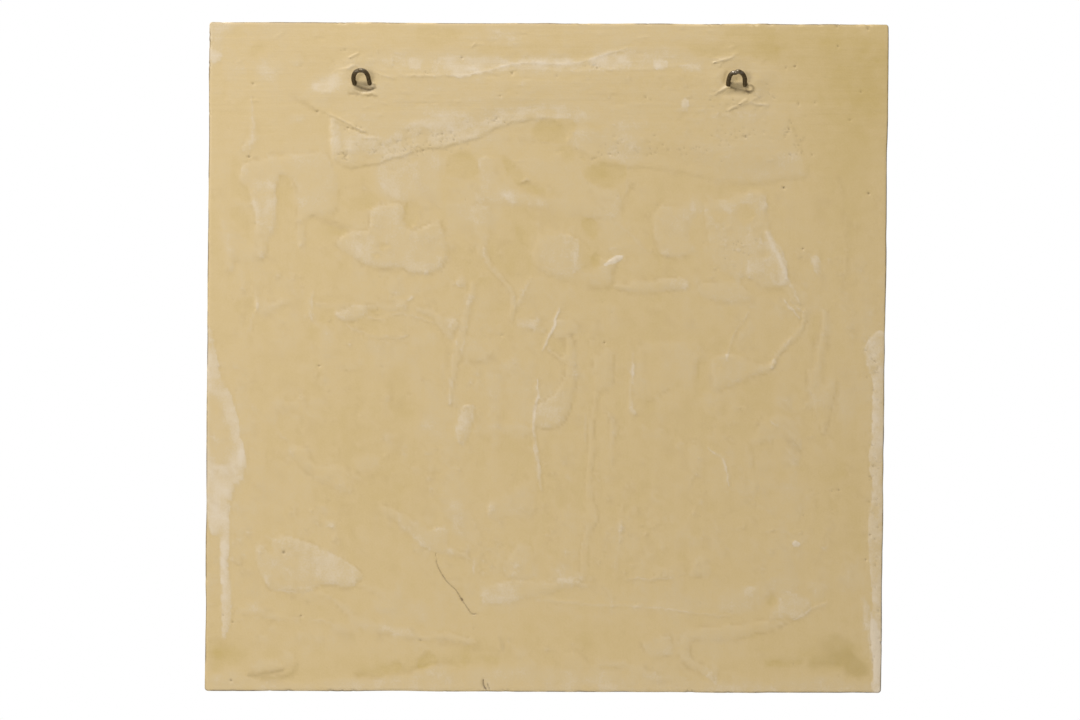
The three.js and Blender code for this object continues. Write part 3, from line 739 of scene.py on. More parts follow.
# %% Patches of the head
PATCHES += [
    ("olive_top_left", -0.22, -0.05, 0.02, "219,40 226,30 240,27 244,33 236,42 224,46"),
    ("olive_top_left_2", -0.24, -0.05, 0.02, "250,52 256,42 268,40 278,42 272,52 262,60 252,60"),
    ("olive_top_middle", -0.26, -0.06, 0, "420,26 446,26 462,34 452,44 430,46 416,38"),
    ("olive_crest", -0.22, -0.05, 0.03, "478,48 500,46 518,50 520,60 508,62 496,56 482,54"),
    ("olive_crest_2", -0.2, -0.05, 0.03, "528,46 536,40 546,46 544,56 530,56"),
    ("olive_crest_3", -0.2, -0.05, 0.03, "566,52 580,45 594,46 590,56 576,60"),
    ("olive_pocket", -0.42, -0.12, 0.16, "537,122 556,119 572,121 577,128 566,142 545,142 535,138"),
    ("olive_pocket_2", -0.3, -0.08, 0.06, "588,122 598,120 605,124 600,131 593,130"),
    ("olive_pocket_3", -0.3, -0.08, 0.06, "560,148 570,146 574,156 567,162 561,157"),
    ("olive_top_right", -0.24, -0.06, 0.05,
     "688,48 716,42 733,28 772,27 778,44 778,62 756,58 735,55 704,58"),
    ("head_drop", 0.22, 0.16, 0.14, "252,116 256,124 258,140 254,148 243,152 241,148 248,138 250,126"),
    ("head_grey", 0.2, 0.08, 0.04, "226,62 242,60 246,74 242,96 230,102 226,84"),
    ("edge_lilac", 0.34, 0.1, 0.05, "211,50 222,52 222,60 213,62"),
    ("head_curl", 0.2, 0.12, 0.16, "288,54 298,51 304,58 298,66 290,63"),
    ("corner_smear", 0.36, 0.08, 0.05, "410,58 418,55 422,62 419,70 411,68"),
    ("seam_smear", 0.24, 0.1, 0.1, "286,113 298,113 306,117 300,123 290,120"),
    ("coat_left_edge", 0.2, 0.1, 0.05, "331,120 340,122 342,134 340,150 337,160 332,156"),
    ("crown_lilac", 0.22, 0.06, 0, "446,64 470,66 480,72 466,77 448,76"),
    ("crown_lilac_2", 0.26, 0.06, 0, "590,58 612,54 632,60 628,69 604,68 592,64"),
    ("lilac_spot", 0.46, 0.12, 0.08, "653,62 660,59 668,62 668,68 656,70"),
    ("lilac_spot_2", 0.32, 0.1, 0.06, "679,66 692,64 703,66 700,72 684,71"),
    ("coat_middle", 0.22, 0.12, 0.06,
     "568,134 580,128 604,124 626,120 640,124 642,150 636,166 610,160 586,154 572,144"),
    ("lilac_top", 0.16, 0.06, 0.04, "486,27 500,28 520,36 520,46 496,45 487,38"),
    ("head_band", 0.12, 0.04, 0.03, "612,28 640,26 700,27 724,30 716,38 690,42 660,40 630,46 612,46"),
    ("eye_left", -0.5, 0.1, 0.05, "358,75 362,74 365,77 363,80 359,79"),
    ("eye_right", -0.5, 0.1, 0.05, "733,77 737,75 740,78 737,81 734,80"),
    ("head_corner_slip", 0.28, 0.15, 0.1, "205,18 245,18 236,30 226,40 220,60 205,66"),
    ("head_left_slip", 0.2, 0.15, 0.1, "258,60 268,54 282,60 284,74 272,84 262,78 256,70"),
    ("crown_smear", 0.2, 0.12, 0.1,
     "436,60 460,56 500,58 540,60 583,58 612,50 660,48 690,56 700,64 654,68 600,70 570,71 534,67 "
     "500,71 460,78 430,77"),
    ("mid_smear", 0.22, 0.16, 0.14,
     "383,144 400,128 416,118 450,112 500,108 550,104 576,108 588,118 560,121 520,122 503,127 "
     "478,139 450,146 416,152 398,158 384,158"),
    ("torn_corner", 0.18, 0.2, 0.16,
     "332,118 345,126 366,134 392,138 380,150 360,160 344,164 333,154 331,136"),
    ("bubble_slip", 0.55, 0.25, 0.25, "679,104 683,98 688,100 687,110 680,112"),
    ("coat_right", 0.03, 0.22, 0.22,
     "677,119 694,119 717,119 743,112 766,108 778,109 788,118 798,148 805,165 804,176 780,178 "
     "756,180 728,178 700,172 690,150 680,134"),
    ("coat_blue", 0.18, 0.06, 0, "740,178 756,162 774,156 794,152 804,164 803,176 780,178 758,181"),
    ("loop_smear", 0.3, 0.12, 0.1, "312,86 326,76 345,70 350,78 342,86 322,92"),
]
SMEARED = (
    "crown_smear mid_smear head_left_slip loop_smear head_grey head_band coat_middle "
    "olive_top_middle head_corner_slip foot_slip coat_right pouch_head left_field pale_post "
    "arc_top notch_tail yellow_below bright_cheek coat_blue u_light shelf_bright left_edge_worn "
    "left_edge_bright hook_bottom fin_bright pouch_bottom"
).split()
PATCH_LIFT, SMEAR_LIFT, SMEAR_RIM = 0.85, 0.5, 0.3
for name, pale, lift, rim, outline in PATCHES:
    mark = patch_edge(marked(outline))
    if name in SMEARED:
        lay(mark, pale=pale, lift=lift * SMEAR_LIFT, rim=rim * SMEAR_RIM, soft=6)
    else:
        lay(mark, pale=pale, lift=lift * PATCH_LIFT, rim=rim, bead=0.02, feather=2.5)
print(len(PATCHES), "patches")

# %% [markdown]
# ## Drips, ridges and scratches
#
# Runs are thin: a drip of slip, a ridge that the trowel's corner left, a loose fibre that dried in the coat.
# A negative lift is a groove, such as the crack near the foot or the scored line under the left loop. A run
# named shade is painted shade along a groove or at a ridge's foot, and the glint is a painted highlight on a
# small ridge.

# %% Runs
RUN_LIFT = 0.75
RUNS = [
    # name, pale, lift, rim, soil, points as x, y, half width
    ("bright_edge", 0.3, 0.3, 0.1, 0, "766,232,1.2 773,245,2.2 782,264,2 790,284,1.6 800,304,1.2"),
    ("long_drip", 0.34, 0.34, 0.22, 0,
     "473,284,1.6 470,298,3.2 466,314,3.6 462,330,4.2 459,346,4.6 455,362,3.4 453,376,2.6 "
     "451,388,1.8 450,404,1.6"),
    ("y_left", 0.3, 0.34, 0.38, 0,
     "484,248,1.8 488,262,2.6 496,272,2.6 505,283,2.4 511,293,2.4 513,305,3.2 512,318,2.4"),
    ("y_right", 0.26, 0.26, 0.2, 0, "531,278,1 527,286,1.6 521,298,2 516,308,2"),
    ("curl", 0.3, 0.24, 0.3, 0,
     "347,325,0.8 353,328.5,1.1 363,331.5,1.2 373,336,1.3 388,337,1.2 400,337,1.2 408,335,0.8"),
    ("drip_a", 0.2, 0.3, 0.4, 0,
     "596,392,1.8 592,420,2.4 591,445,3 590,470,3 589,500,2.8 590,508,4.6 591,518,6.6 588,532,4.6 "
     "585,548,3.6 583,578,3.4"),
    ("drip_a_edge", 0.3, 0.18, 0.1, 0, "586,414,0.6 585,428,1 585,442,0.6"),
    ("drip_b", 0.24, 0.26, 0.34, 0, "607,411,1.2 611,417,2.2 613,430,2.8 612,446,2.6 611,464,1.4"),
    ("drip_c", 0.36, 0.28, 0.24, 0, "633,354,1.4 632,368,1.8 630,384,2 630,400,1.6 634,412,3"),
    ("drip_d", 0.22, 0.2, 0.24, 0,
     "627,484,0.8 623,500,1.4 620,516,2.2 620,540,2.6 616,558,2.4 614,574,1.8"),
    ("drip_e", 0.1, 0.14, 0.16, 0, "644,400,1.2 645,430,1.6 648,450,1.2"),
    ("drip_f", 0.16, 0.16, 0.14, 0, "642,458,1.4 643,468,2.4 643,478,1.4"),
    ("drip_corner", 0.3, 0.34, 0.36, 0,
     "805,311,2 802,325,2.4 796,336,2.6 784,345,2.8 777,355,2.4 773,366,2"),
    ("finger_line", 0, -0.1, 0.6, 0.06,
     "311,216,0.5 320,220.5,0.9 331,223,1 342,224.5,1 352,227.5,0.6"),
    ("star_tail", 0.4, 0.25, 0.16, 0, "258,304,1.4 256.5,311,1 252.5,318,0.9 250,328,1.3"),
    ("star_stem", 0.14, 0.15, 0.08, 0, "259,268,1.5 257,285,2.2 258,300,2"),
    ("short_drip", 0.45, 0.26, 0.14, 0, "313.5,293,1.2 311.5,303,1.6 311,312,1.5 311,320,0.9"),
    ("shelf_ridge", 0.3, 0.25, 0.22, 0,
     "368,316,0.7 384,318.5,1 396,314,1 410,316,1 424,318,1 434,322,0.7"),
    ("shelf_knot", 0.55, 0.3, 0.25, 0, "409,300.5,1 412.5,298,1.4"),
    ("thin_post", 0.25, 0.16, 0.12, 0, "628,164,0.5 627,178,0.9 626,192,0.9"),
    ("post_shade", -0.1, -0.15, 0.4, 0, "622,208,0.5 626,196,0.8 632,184,0.5"),
    ("glint", 0.7, 0.35, 0.1, 0, "521,182,0.4 525,180.5,0.9 529,180,0.4"),
    ("glint_shade", 0, -0.2, 0.5, 0.12, "518,184.5,0.5 523,184,0.7 529,182,0.4"),
    ("crease_line", 0.26, 0.2, 0.1, 0, "618,224,0.6 630,233,0.9 638,243,0.9 646,252,0.7"),
    ("crease_line_2", 0.22, 0.18, 0.1, 0, "606,250,0.6 620,246,0.8 634,246,0.7"),
    ("curl_left", 0.24, 0.18, 0.16, 0, "274,416,0.8 274,424,1 279,433,1 288,441,0.9"),
    ("post_line", 0.28, 0.18, 0.16, 0, "404,436,0.8 404,450,1.2 405,462,1 412,466,0.8 418,467,0.5"),
    ("left_whisker", 0.22, 0.16, 0.12, 0, "512,455,0.6 520,453,1 530,448,0.6"),
    ("arch_line", 0, -0.12, 0.45, 0.06, "790,440,0.5 795,444,0.8 801,452,0.6"),
    ("drip_line", 0.3, 0.16, 0.1, 0, "729,352,0.7 725,362,1 723,370,0.6"),
    ("foot_left_dash", 0.3, 0.22, 0.18, 0, "311,620.5,1 320,620.5,1.8 331,622,1.2"),
    ("foot_shade", -0.14, -0.12, 0.34, 0,
     "420,641.5,0.6 440,642,0.8 456,643,0.9 470,646,0.9 484,648,0.8 498,651,0.6"),
    ("swirl_slot", -0.2, -0.3, 0.5, 0.24, "249,675.5,0.8 260,675.5,1.4 272,672.5,1.3 283,669.5,1.1"),
    ("swirl_shade", -0.24, -0.2, 0.4, 0.12, "262,679,1 280,678.5,1.6 292,673,1.8 297,664,1.2"),
    ("arch_rail", 0.16, 0.14, 0.14, 0, "531,518,1.4 534,540,2 535,560,2 535,576,1.6"),
    ("shelf_hook", 0.28, 0.2, 0.14, 0, "604,588,0.8 610,592,1.6 612,602,1.8 611,612,1"),
    ("dotted_post", 0.45, 0.2, 0.14, 0, "474,559,1.4 474.5,566,1.8 474,573,1.2"),
    ("foot_tick", 0.2, 0.18, 0.4, 0.1, "501,640,0.6 502,645,0.9 502,649,0.5"),
    ("corner_black", -0.3, -0.16, 0.3, 0.1, "812,663,3 826,660,5 846,658,6 854,668,9 862,670,6"),
    ("corner_black_2", -0.24, -0.1, 0.2, 0.05, "822,642,3 836,640,5 850,650,5"),
    ("corner_brown", -0.36, -0.1, 0.1, 0.02, "768,664,3 784,664,4.5 798,662,3"),
    ("side_post_edge", 0, -0.1, 0.5, 0,
     "818,310,0.5 817.5,326,0.9 816,344,0.9 811,362,0.7 807,378,0.8 810,396,0.6"),
    ("fibre_middle", 0.62, 0.32, 0.2, 0,
     "538,380,0.6 537,400,1.3 534,420,1.3 535,440,1.8 537,458,2.2 539,474,2.4 542,490,1"),
    ("fibre_fork", 0.8, 0.36, 0.16, 0,
     "559,308,0.5 556,317,1.1 554,326,1.5 550,334,1.2 546,341,1 543,350,0.6"),
    ("fibre_right", 0.6, 0.3, 0.16, 0, "708,448,0.6 715,454,0.9 722,457,0.9 726,470,1 729,485,0.6"),
    ("arc_line", 0.26, 0.16, 0.14, 0, "665,456,0.7 671,447,1 684,443,0.8"),
    ("fibre_upper", 0.35, 0.22, 0.1, 0, "748,312,0.6 736,332,0.9 727,356,0.8"),
    ("feather_1", 0.6, 0.4, 0.1, 0, "784,301,0.9 791,309,1.4 799,318,0.9"),
    ("feather_2", 0.45, 0.34, 0.1, 0, "790,300,0.7 797,308,1.1 803,312,0.8"),
]
print(len(RUNS), "so far")

# %% [markdown]
# ## Ridges and scratches of the head and the foot
#
# The trowel's edge left fine crests in the coat, and plaster that was pushed up around the
# loops left short ridges. Each one catches the light along its upper side.

# %% Ridges and scratches of the head and the foot
RUNS += [
    ("head_line", 0.06, -0.1, 0.3, 0, "241,164,0.6 256,158,0.6 281,154,0.6 316,152,0.6"),
    ("left_stroke", 0.3, 0.2, 0.12, 0, "252,98,0.8 254,120,1.6 252,144,1.2 249,154,0.6"),
    ("side_rail", 0.1, 0.16, 0.22, 0, "840,180,0.8 846,240,1 842,300,0.8"),
    ("slope_ridge", 0.18, 0.65, 0.16, 0,
     "328,114,0.5 338,118,0.8 347,122.5,1 357,128,0.9 366,131.5,0.5"),
    ("slope_shade", -0.2, -0.3, 0.3, 0.1, "336,123,0.6 350,129,0.9 368,133.5,0.6"),
    ("scored_line", -0.12, -0.2, 0.35, 0.1, "292,96,0.5 302,102,0.7 317,111,0.6"),
    ("crest_1", 0.24, 0.34, 0.05, 0,
     "433,77,0.5 452,76.5,0.8 480,73,0.8 503,66,0.8 529,63,0.9 557,64.4,0.9 583,61,0.9 600,55.5,0.8 "
     "618,50.5,0.7 627,48,0.4"),
    ("crest_2", 0.14, 0.22, 0.05, 0,
     "500,71,0.4 534,68,0.7 574,71.5,0.7 597,70,0.8 626,70,0.7 654,68,0.6 700,64,0.4"),
    ("crest_3", 0.18, 0.45, 0.05, 0, "373,73,0.4 384,75.5,0.8 394,78,0.4"),
    ("crest_4", 0.2, 0.5, 0.05, 0, "404,76.6,0.4 418,76.2,0.8 434,76.6,0.5"),
    ("crest_5", 0.16, 0.7, 0.05, 0, "346,67.5,0.5 350,66,0.9 354,64.5,0.5"),
    ("crest_6", 0.1, 0.4, 0.05, 0, "331,71.5,0.4 340,69,0.6 346,69.5,0.4"),
    ("nick_1", 0.16, 0.9, 0.05, 0, "349.5,57,0.4 353.5,54.8,0.9 358,52.5,0.4"),
    ("nick_2", 0.08, 0.4, 0.05, 0, "374,46.5,0.4 377,50,0.7 378,54,0.4"),
    ("nick_3", 0.08, 0.4, 0.05, 0, "391,57,0.5 392,66,0.5"),
    ("nick_4", 0.16, 0.8, 0.05, 0, "472,47,0.4 476,43.5,0.7"),
    ("trowel_1", -0.1, -0.1, 0.22, 0, "540,94.5,0.5 556,94,0.7 569,93,0.5"),
    ("trowel_2", -0.06, -0.08, 0.16, 0, "572,94.8,0.5 600,95.5,0.6 623,95,0.5"),
    ("trowel_3", -0.08, -0.1, 0.18, 0, "395,104,0.5 430,103,0.7 470,106,0.5"),
    ("trowel_4", 0.1, 0.1, 0.06, 0, "600,88,0.5 640,86,0.7 668,88,0.5"),
    ("coat_seam", 0.12, 0.16, 0.28, 0,
     "677,118,0.6 694,119.5,0.8 717,118,0.8 743,111.5,0.8 765,108,0.6"),
    ("coat_step", 0.1, 0.16, 0.24, 0, "508,140,0.5 528,141.5,0.7 554,141.5,0.5"),
    ("ridge_loop_2a", 0.14, 0.85, 0.05, 0, "713,62.5,0.5 722,60,0.8 735,57,0.5"),
    ("ridge_loop_2b", 0.1, 0.5, 0.05, 0, "719,66,0.6 722,62.5,0.8"),
    ("ridge_loop_2c", 0.22, 1.05, 0.1, 0, "714.5,94.5,0.5 720,91,1.1 727,87.8,0.9 731,88.6,0.6"),
    ("ridge_loop_2d", 0.16, 0.95, 0.1, 0, "727,110.5,0.4 731,108.5,0.9 736,106.3,0.6"),
    ("ridge_loop_2e", 0.16, 0.95, 0.1, 0, "738,104,0.5 742,101.8,0.9 745.5,99.8,0.6"),
    ("ridge_loop_2h", 0.06, 0.5, 0.1, 0, "736,107,0.4 745,103,0.5 757,97,0.5"),
    ("ridge_loop_2f", 0.1, 0.55, 0.1, 0, "750,101.5,0.4 758,104.5,1.2 767,106.5,0.5"),
    ("ridge_loop_2g", 0.1, 0.6, 0.1, 0, "755,93,0.5 758,95.5,0.8 760,97,0.5"),
    ("scored_loop_1", -0.2, -0.6, 0.4, 0.35, "350,93.3,0.5 355,94,0.9 360,94,0.5"),
    ("scored_loop_1b", -0.2, -0.55, 0.4, 0.3, "367,95.8,0.5 371,96.4,0.8 377,96.8,0.4"),
    ("lip_loop_1", 0.14, 0.6, 0.05, 0, "353,90,0.5 358,91.6,0.8 365,93.6,0.7 376,94.6,0.4"),
    ("foot_seam", -0.15, -0.14, 0.35, 0.05,
     "357,675,0.5 380,676,0.8 405,672.5,0.8 430,665,0.8 450,662,0.5"),
    ("foot_step", -0.12, -0.12, 0.3, 0, "210,640,0.6 228,641.5,0.8 244,640,0.5"),
    ("foot_crest", 0.3, 0.24, 0.12, 0, "540,600,0.6 580,604,1 640,606,1 690,612,0.8 730,616,0.5"),
    ("foot_crest_2", 0.22, 0.2, 0.12, 0, "625,581,0.6 643,578,1 664,579,0.8 684,575,0.5"),
    ("right_curl", 0.55, 0.3, 0.16, 0, "770,421,0.8 774,424,1.1 778,425,0.7"),
    ("right_bar", 0.22, 0.2, 0.12, 0, "766,532,0.8 778,530,1.2 792,535,0.9"),
]
for name, pale, lift, rim, soil_and_shade, points in RUNS:
    lay(run_edge(marked(points)), pale=pale, lift=lift * RUN_LIFT, rim=rim, soil_and_shade=soil_and_shade, soft=1.4)
print(len(RUNS), "runs")

# %% [markdown]
# ## The crack and the pinholes
#
# One hairline crack crosses the foot. Pinholes are air bubbles that burst as the plaster set,
# and dirt has settled in them.

# %% Crack and pinholes
CRACK = (
    "436,553.5,0.15 436.5,562,0.25 440,571,0.35 445,579,0.45 450,585,0.35 455,589,0.3 459,595,0.4 "
    "462,600,0.8 465,604.5,0.3 468,609,0.35 472,614,0.4 478,614.2,0.1"
)
lay(run_edge(marked(CRACK), wobble=False), lift=-0.6, soil_and_shade=0.66, soft=0.8, rim=0.15)
FOOT_NICK = marked("483.5,680,0.4 484,686,0.7 486,689,0.8")
lay(run_edge(FOOT_NICK, wobble=False), lift=-0.8, soil_and_shade=0.9, soft=0.9, rim=0.3)
FOOT_SCRATCH = marked("487.5,684,0.35 489.5,689,0.5")
lay(run_edge(FOOT_SCRATCH, wobble=False), lift=-0.5, soil_and_shade=0.6, soft=0.9)

PINHOLES = [
    # x, y, radius, dirt
    (252.8, 83.8, 1.2, 0.8), (248.8, 157, 1.5, 0.8), (317.3, 111.6, 1.1, 0.8),
    (352.8, 129, 0.9, 0.6), (348, 128, 0.7, 0.5), (343.5, 153.6, 1.3, 0.55),
    (345.5, 156.5, 1.5, 0.6), (346.5, 160, 1.1, 0.55), (453.9, 140, 1.0, 0.9),
    (512, 73.4, 1.3, 0.7), (597, 68, 1.1, 0.7), (645.7, 97.7, 0.9, 0.8),
    (745.7, 136.6, 1.1, 0.8), (783.7, 187.7, 1.5, 0.9), (798.6, 104.3, 1.1, 0.7),
    (815, 102.5, 0.8, 0.5), (837, 26, 1.3, 0.8), (838, 46.3, 1.1, 0.7), (795, 66.5, 0.9, 0.6),
    (868, 28.6, 1.1, 0.7), (868.6, 193.7, 1.0, 0.8), (283.8, 552.3, 1.8, 0.85),
    (232.5, 622, 1.1, 0.7), (223, 615, 0.9, 0.6), (231, 680.5, 1.0, 0.8), (301, 616, 0.9, 0.6),
    (420.5, 640.5, 0.9, 0.6), (462, 599.6, 1.2, 0.9), (462, 58, 0.8, 0.5), (557, 76, 0.8, 0.5),
    (604.5, 343, 0.9, 0.5), (803, 249, 0.8, 0.5), (839, 490, 1.0, 0.7), (832, 491, 0.8, 0.5),
    (319, 366, 0.9, 0.6), (502, 335, 0.7, 0.4), (873, 466, 0.9, 0.6), (870, 535, 0.8, 0.5),
    (866, 560, 0.8, 0.5), (812, 155, 0.9, 0.6), (861, 92, 1.0, 0.6), (850, 120, 1.0, 0.5),
    (786, 68, 0.8, 0.5), (500, 96, 0.8, 0.5), (622, 140, 0.7, 0.4), (663, 145, 0.7, 0.4),
]
for x, y, radius, dirt in PINHOLES:
    lay(spot(x, y, 0.7 * radius, False, (0.3, 0.2)), lift=-0.7, soil_and_shade=dirt * 0.6, soft=1.2)
print(len(PINHOLES), "pinholes")

# %% [markdown]
# ## Drops and flecks
#
# Drops of slip fell and dried as pale round spots. The trowel left short flecks all over the
# head. They are too small to place one by one, so seeded random numbers strew them inside the
# fields where the photograph has them.

# %% Drops and flecks
DROPS = [
    # x, y, radius, pale
    (238, 532, 2.8, 0.22), (248, 532, 2.8, 0.22), (318, 524, 2.2, 0.30), (331, 524, 3.2, 0.32),
    (325, 511, 2.4, 0.45), (270, 628, 2.6, 0.20), (262, 638, 3.2, 0.20), (300, 637, 4.2, 0.16),
    (320, 637, 4.2, 0.18), (268, 641, 3.0, 0.18), (243, 555, 2.0, 0.24), (268, 538, 2.2, 0.20),
    (483, 561, 2.0, 0.36), (483, 573, 2.2, 0.36), (489, 549, 1.6, 0.30), (468, 548, 2.0, 0.18),
    (563, 462, 2.0, 0.34), (568, 478, 1.8, 0.28), (552, 474, 1.6, 0.26), (599, 481, 1.4, 0.34),
    (605, 549, 2.4, 0.24), (598, 562, 2.4, 0.24), (591, 579, 1.8, 0.28), (567, 552, 2.0, 0.24),
    (796, 544, 3.4, 0.70), (824, 549, 2.2, 0.34), (831, 562, 2.2, 0.26), (693, 441, 2.2, 0.26),
    (785, 401, 2.8, 0.26), (743, 408, 3.0, 0.18), (592, 343, 3.2, 0.14), (600, 331, 2.4, 0.16),
    (548, 189, 2.6, 0.24), (500, 252, 2.4, 0.26), (462, 175, 2.0, 0.26), (469, 185, 1.8, 0.24),
    (455, 190, 1.6, 0.24), (278, 274, 2.2, 0.26), (262, 257, 2.2, 0.24), (291, 185, 1.8, 0.30),
    (300, 221, 1.8, 0.26), (364, 188, 1.6, 0.34), (415, 226, 1.6, 0.28), (532, 222, 1.8, 0.26),
    (820, 243, 1.8, 0.40), (829, 260, 2.4, 0.34), (803, 284, 2.0, 0.30), (855, 225, 2.4, 0.22),
    (847, 249, 1.6, 0.30), (739, 250, 2.0, 0.26), (508, 641, 1.4, 0.40), (572, 644, 1.4, 0.30),
    (548, 650, 1.6, 0.24), (388, 398, 2.0, 0.28), (357, 443, 1.4, 0.26), (253, 449, 1.6, 0.26),
    (296, 503, 2.0, 0.18), (293, 511, 2.4, 0.20), (220, 364, 2.4, 0.24), (236, 366, 2.4, 0.24),
    (254, 408, 1.8, 0.24), (350, 345, 1.4, 0.40), (635, 509, 2.2, 0.20), (608, 500, 1.8, 0.20),
    (664, 574, 3.0, 0.20), (763, 568, 2.2, 0.28), (868, 314, 1.4, 0.20), (847, 468, 2.4, 0.24),
    (428, 478, 2.2, 0.26), (430, 488, 2.6, 0.26), (470, 382, 1.8, 0.28), (574, 365, 1.0, 0.20),
]
for x, y, radius, pale in DROPS:
    lay(spot(x, y, radius, reach=(0.3, 0)), pale=pale, lift=0.16, rim=0.26, soft=1.4)

rng = np.random.default_rng(78)
FLECKS = [
    # left, top, right, bottom, how many, steepest rise
    (335, 46, 775, 112, 150, 0.25), (335, 112, 800, 172, 80, 0.35), (215, 28, 335, 110, 40, 0.6),
    (690, 50, 780, 116, 46, 0.6), (340, 44, 400, 70, 26, 0.6), (340, 26, 720, 48, 40, 0.15),
]
for left, top, right, bottom, count, steep in FLECKS:
    for _ in range(count):
        x, y = rng.uniform(left, right), rng.uniform(top, bottom)
        reach, rise = rng.uniform(1.5, 6.5), rng.uniform(-steep, 0.4 * steep)
        fleck = np.array([(x - reach, y - reach * rise, 0.3), (x, y, rng.uniform(0.5, 0.9)),
                          (x + reach, y + reach * rise, 0.3)])
        sign = 1 if rng.uniform() < 0.62 else -1
        lay(run_edge(fleck), pale=0.16 * sign * rng.uniform(), lift=sign * rng.uniform(0.04, 0.20), soft=1.4)
print(len(DROPS), "drops,", sum(field[4] for field in FLECKS), "flecks")

# %% [markdown]
# ## Bubbles, specks and pits
#
# Small bubbles never burst, and stand as little rings. Specks of dirt lie anywhere, and the
# porous stretches of the coat are full of pits. All of them are strewn in the same way.

# %% Bubbles, specks and pits
rng = np.random.default_rng(77)
BUBBLE_FIELDS = [
    # left, top, right, bottom, how many, largest radius
    (300, 370, 480, 500, 46, 2.6), (232, 500, 340, 620, 30, 3.2), (470, 500, 560, 585, 34, 3.0),
    (592, 500, 700, 580, 34, 3.0), (690, 400, 820, 560, 46, 3.0), (420, 230, 480, 300, 10, 3.0),
    (590, 60, 720, 140, 16, 2.6), (640, 210, 800, 280, 26, 2.2), (830, 200, 875, 330, 10, 2.6),
    (240, 240, 330, 330, 12, 2.4),
]
bubbles = 0
for left, top, right, bottom, count, largest in BUBBLE_FIELDS:
    for _ in range(count):
        x, y = rng.uniform(left, right), rng.uniform(top, bottom)
        size = 0.9 + (largest - 0.9) * rng.uniform() ** 2
        pale, rim = rng.uniform(0.02, 0.26), rng.uniform(0.05, 0.28)
        lay(spot(x, y, size), pale=pale, lift=0.10, rim=rim, bead=0.09, soft=1.2)
        bubbles += 1
SPECKS = 150
for _ in range(SPECKS):
    x, y = rng.uniform(212, 880), rng.uniform(28, 685)
    lay(spot(x, y, 0.45, False, (0.1, 0)), lift=-0.25, soil_and_shade=rng.uniform(0.05, 0.25), soft=1.0)
PITTED = [
    # x, y, reach across, reach down, how many
    (345, 156, 4, 5, 9), (500, 120, 14, 5, 26), (440, 138, 26, 9, 44), (412, 150, 20, 6, 30),
    (375, 148, 22, 8, 26), (352, 128, 9, 3, 9), (595, 66, 8, 3, 10), (436, 60, 4, 3, 5),
    (426, 73, 6, 3, 6), (789, 128, 7, 10, 22), (798, 148, 6, 12, 18), (735, 136, 30, 10, 26),
    (690, 150, 24, 12, 16), (636, 150, 30, 10, 22), (600, 156, 18, 5, 14), (742, 250, 22, 18, 20),
    (873, 370, 6, 26, 26), (875, 470, 6, 60, 34), (876, 600, 5, 60, 22), (345, 62, 18, 8, 8),
    (760, 92, 14, 12, 14), (722, 104, 12, 8, 8),
]
for x, y, wide, high, count in PITTED:
    for _ in range(count):
        px, py = x + wide * rng.normal() * 0.6, y + high * rng.normal() * 0.6
        size = rng.uniform(0.35, 0.75)
        lift, soil_and_shade = -rng.uniform(0.15, 0.5), rng.uniform(0.05, 0.38)
        lay(spot(px, py, size, False), lift=lift, soil_and_shade=soil_and_shade, soft=1.1)
print(bubbles, "bubbles,", SPECKS, "specks,", sum(field[4] for field in PITTED), "pits")

# %% [markdown]
# ## How the loops sit in the plaster
#
# The wire went in while the coat was soft. Plaster was pushed up against each leg and thumbed hollow beside
# it. A little of it curled over the end of the right loop, and a stub of it stands beside the left one. The
# hollows and the dark lines under the feet also carry painted shadow of the wire.

# %% Plaster around the loops' feet
LOOP_BEDS = [
    # x, y, reach across, reach down, lift in mm
    (355, 86, 5.0, 3.0, 0.7), (370, 87, 4.5, 2.6, 0.7), (364, 90, 9, 2.2, -0.9),
    (729, 89, 5.0, 3.0, 0.8), (745, 90, 4.5, 3.0, 0.9), (737, 94, 8, 3.0, -0.5),
    (360, 60, 14, 7, 0.35), (344, 72, 7, 9, 0.45), (736, 60, 16, 6, 0.40),
    (757, 80, 7, 12, 0.45), (716, 84, 6, 9, 0.35), (733, 101, 10, 5, 0.45),
]
for x, y, wide, high, lift in LOOP_BEDS:
    where, bed = blot(x, y, wide, high)
    sheets["height"][where] += lift * bed
    # Hollow beds are darkened in colour as well, which is painted shade.
    sheets["soil_and_shade"][where] += max(0.0, -lift) * 0.22 * bed
AT_THE_FEET = [
    # pale, lift, darkness from dirt and painted shadow, and the line's points
    (-0.3, 0.6, 0.62,
     "745,88,0.8 747,85.5,0.9 750.5,85,1 753,87.5,1 752,90.8,1 748.5,91.6,0.9 746,90,0.8"),
    # This line and the next are painted shadow of the right loop, over shallow hollows.
    (-0.3, -0.3, 0.56, "731,87,0.8 737,89.6,1.2 744,91,1.3 750,93,0.7"),
    (-0.4, -0.3, 0.24, "727,72,0.8 725,77,1.4 724.5,82,1"),
    (0, 0.7, 0.5, "371,83.5,1 373,84.2,1.1 375,84.6,0.7"),
    # This line is the painted shadow of the left loop, over a shallow hollow under its feet.
    (-0.1, -0.3, 0.66, "353,84.3,0.7 358,86.4,0.9 364,88.6,1 370,90,1 375.5,87.6,0.8"),
    (0.1, 0.5, 0.12, "364,85.8,0.7 369,87,1 374,87,0.7"),
]
for pale, lift, soil_and_shade, points in AT_THE_FEET:
    mark = run_edge(marked(points), wobble=False)
    lay(mark, pale=pale, lift=lift, soil_and_shade=soil_and_shade, rim=0.35, soft=1.2)
for name in ("rim", "soil_and_shade"):
    sheets[name] = np.clip(sheets[name], 0, 1)
print("the back stands", round(float(sheets["height"].max()), 2), "mm proud at most")

# %% [markdown]
# ## The carved face
#
# The other side was never photographed. It follows the solid: a flat border, a moulding, a
# ring, a rosette and four fans, all of them plain traditional ornament. A cast face has no
# undercuts, so it too can be drawn as heights over a lattice, with every wall leaning a little
# as it must to leave the mould.

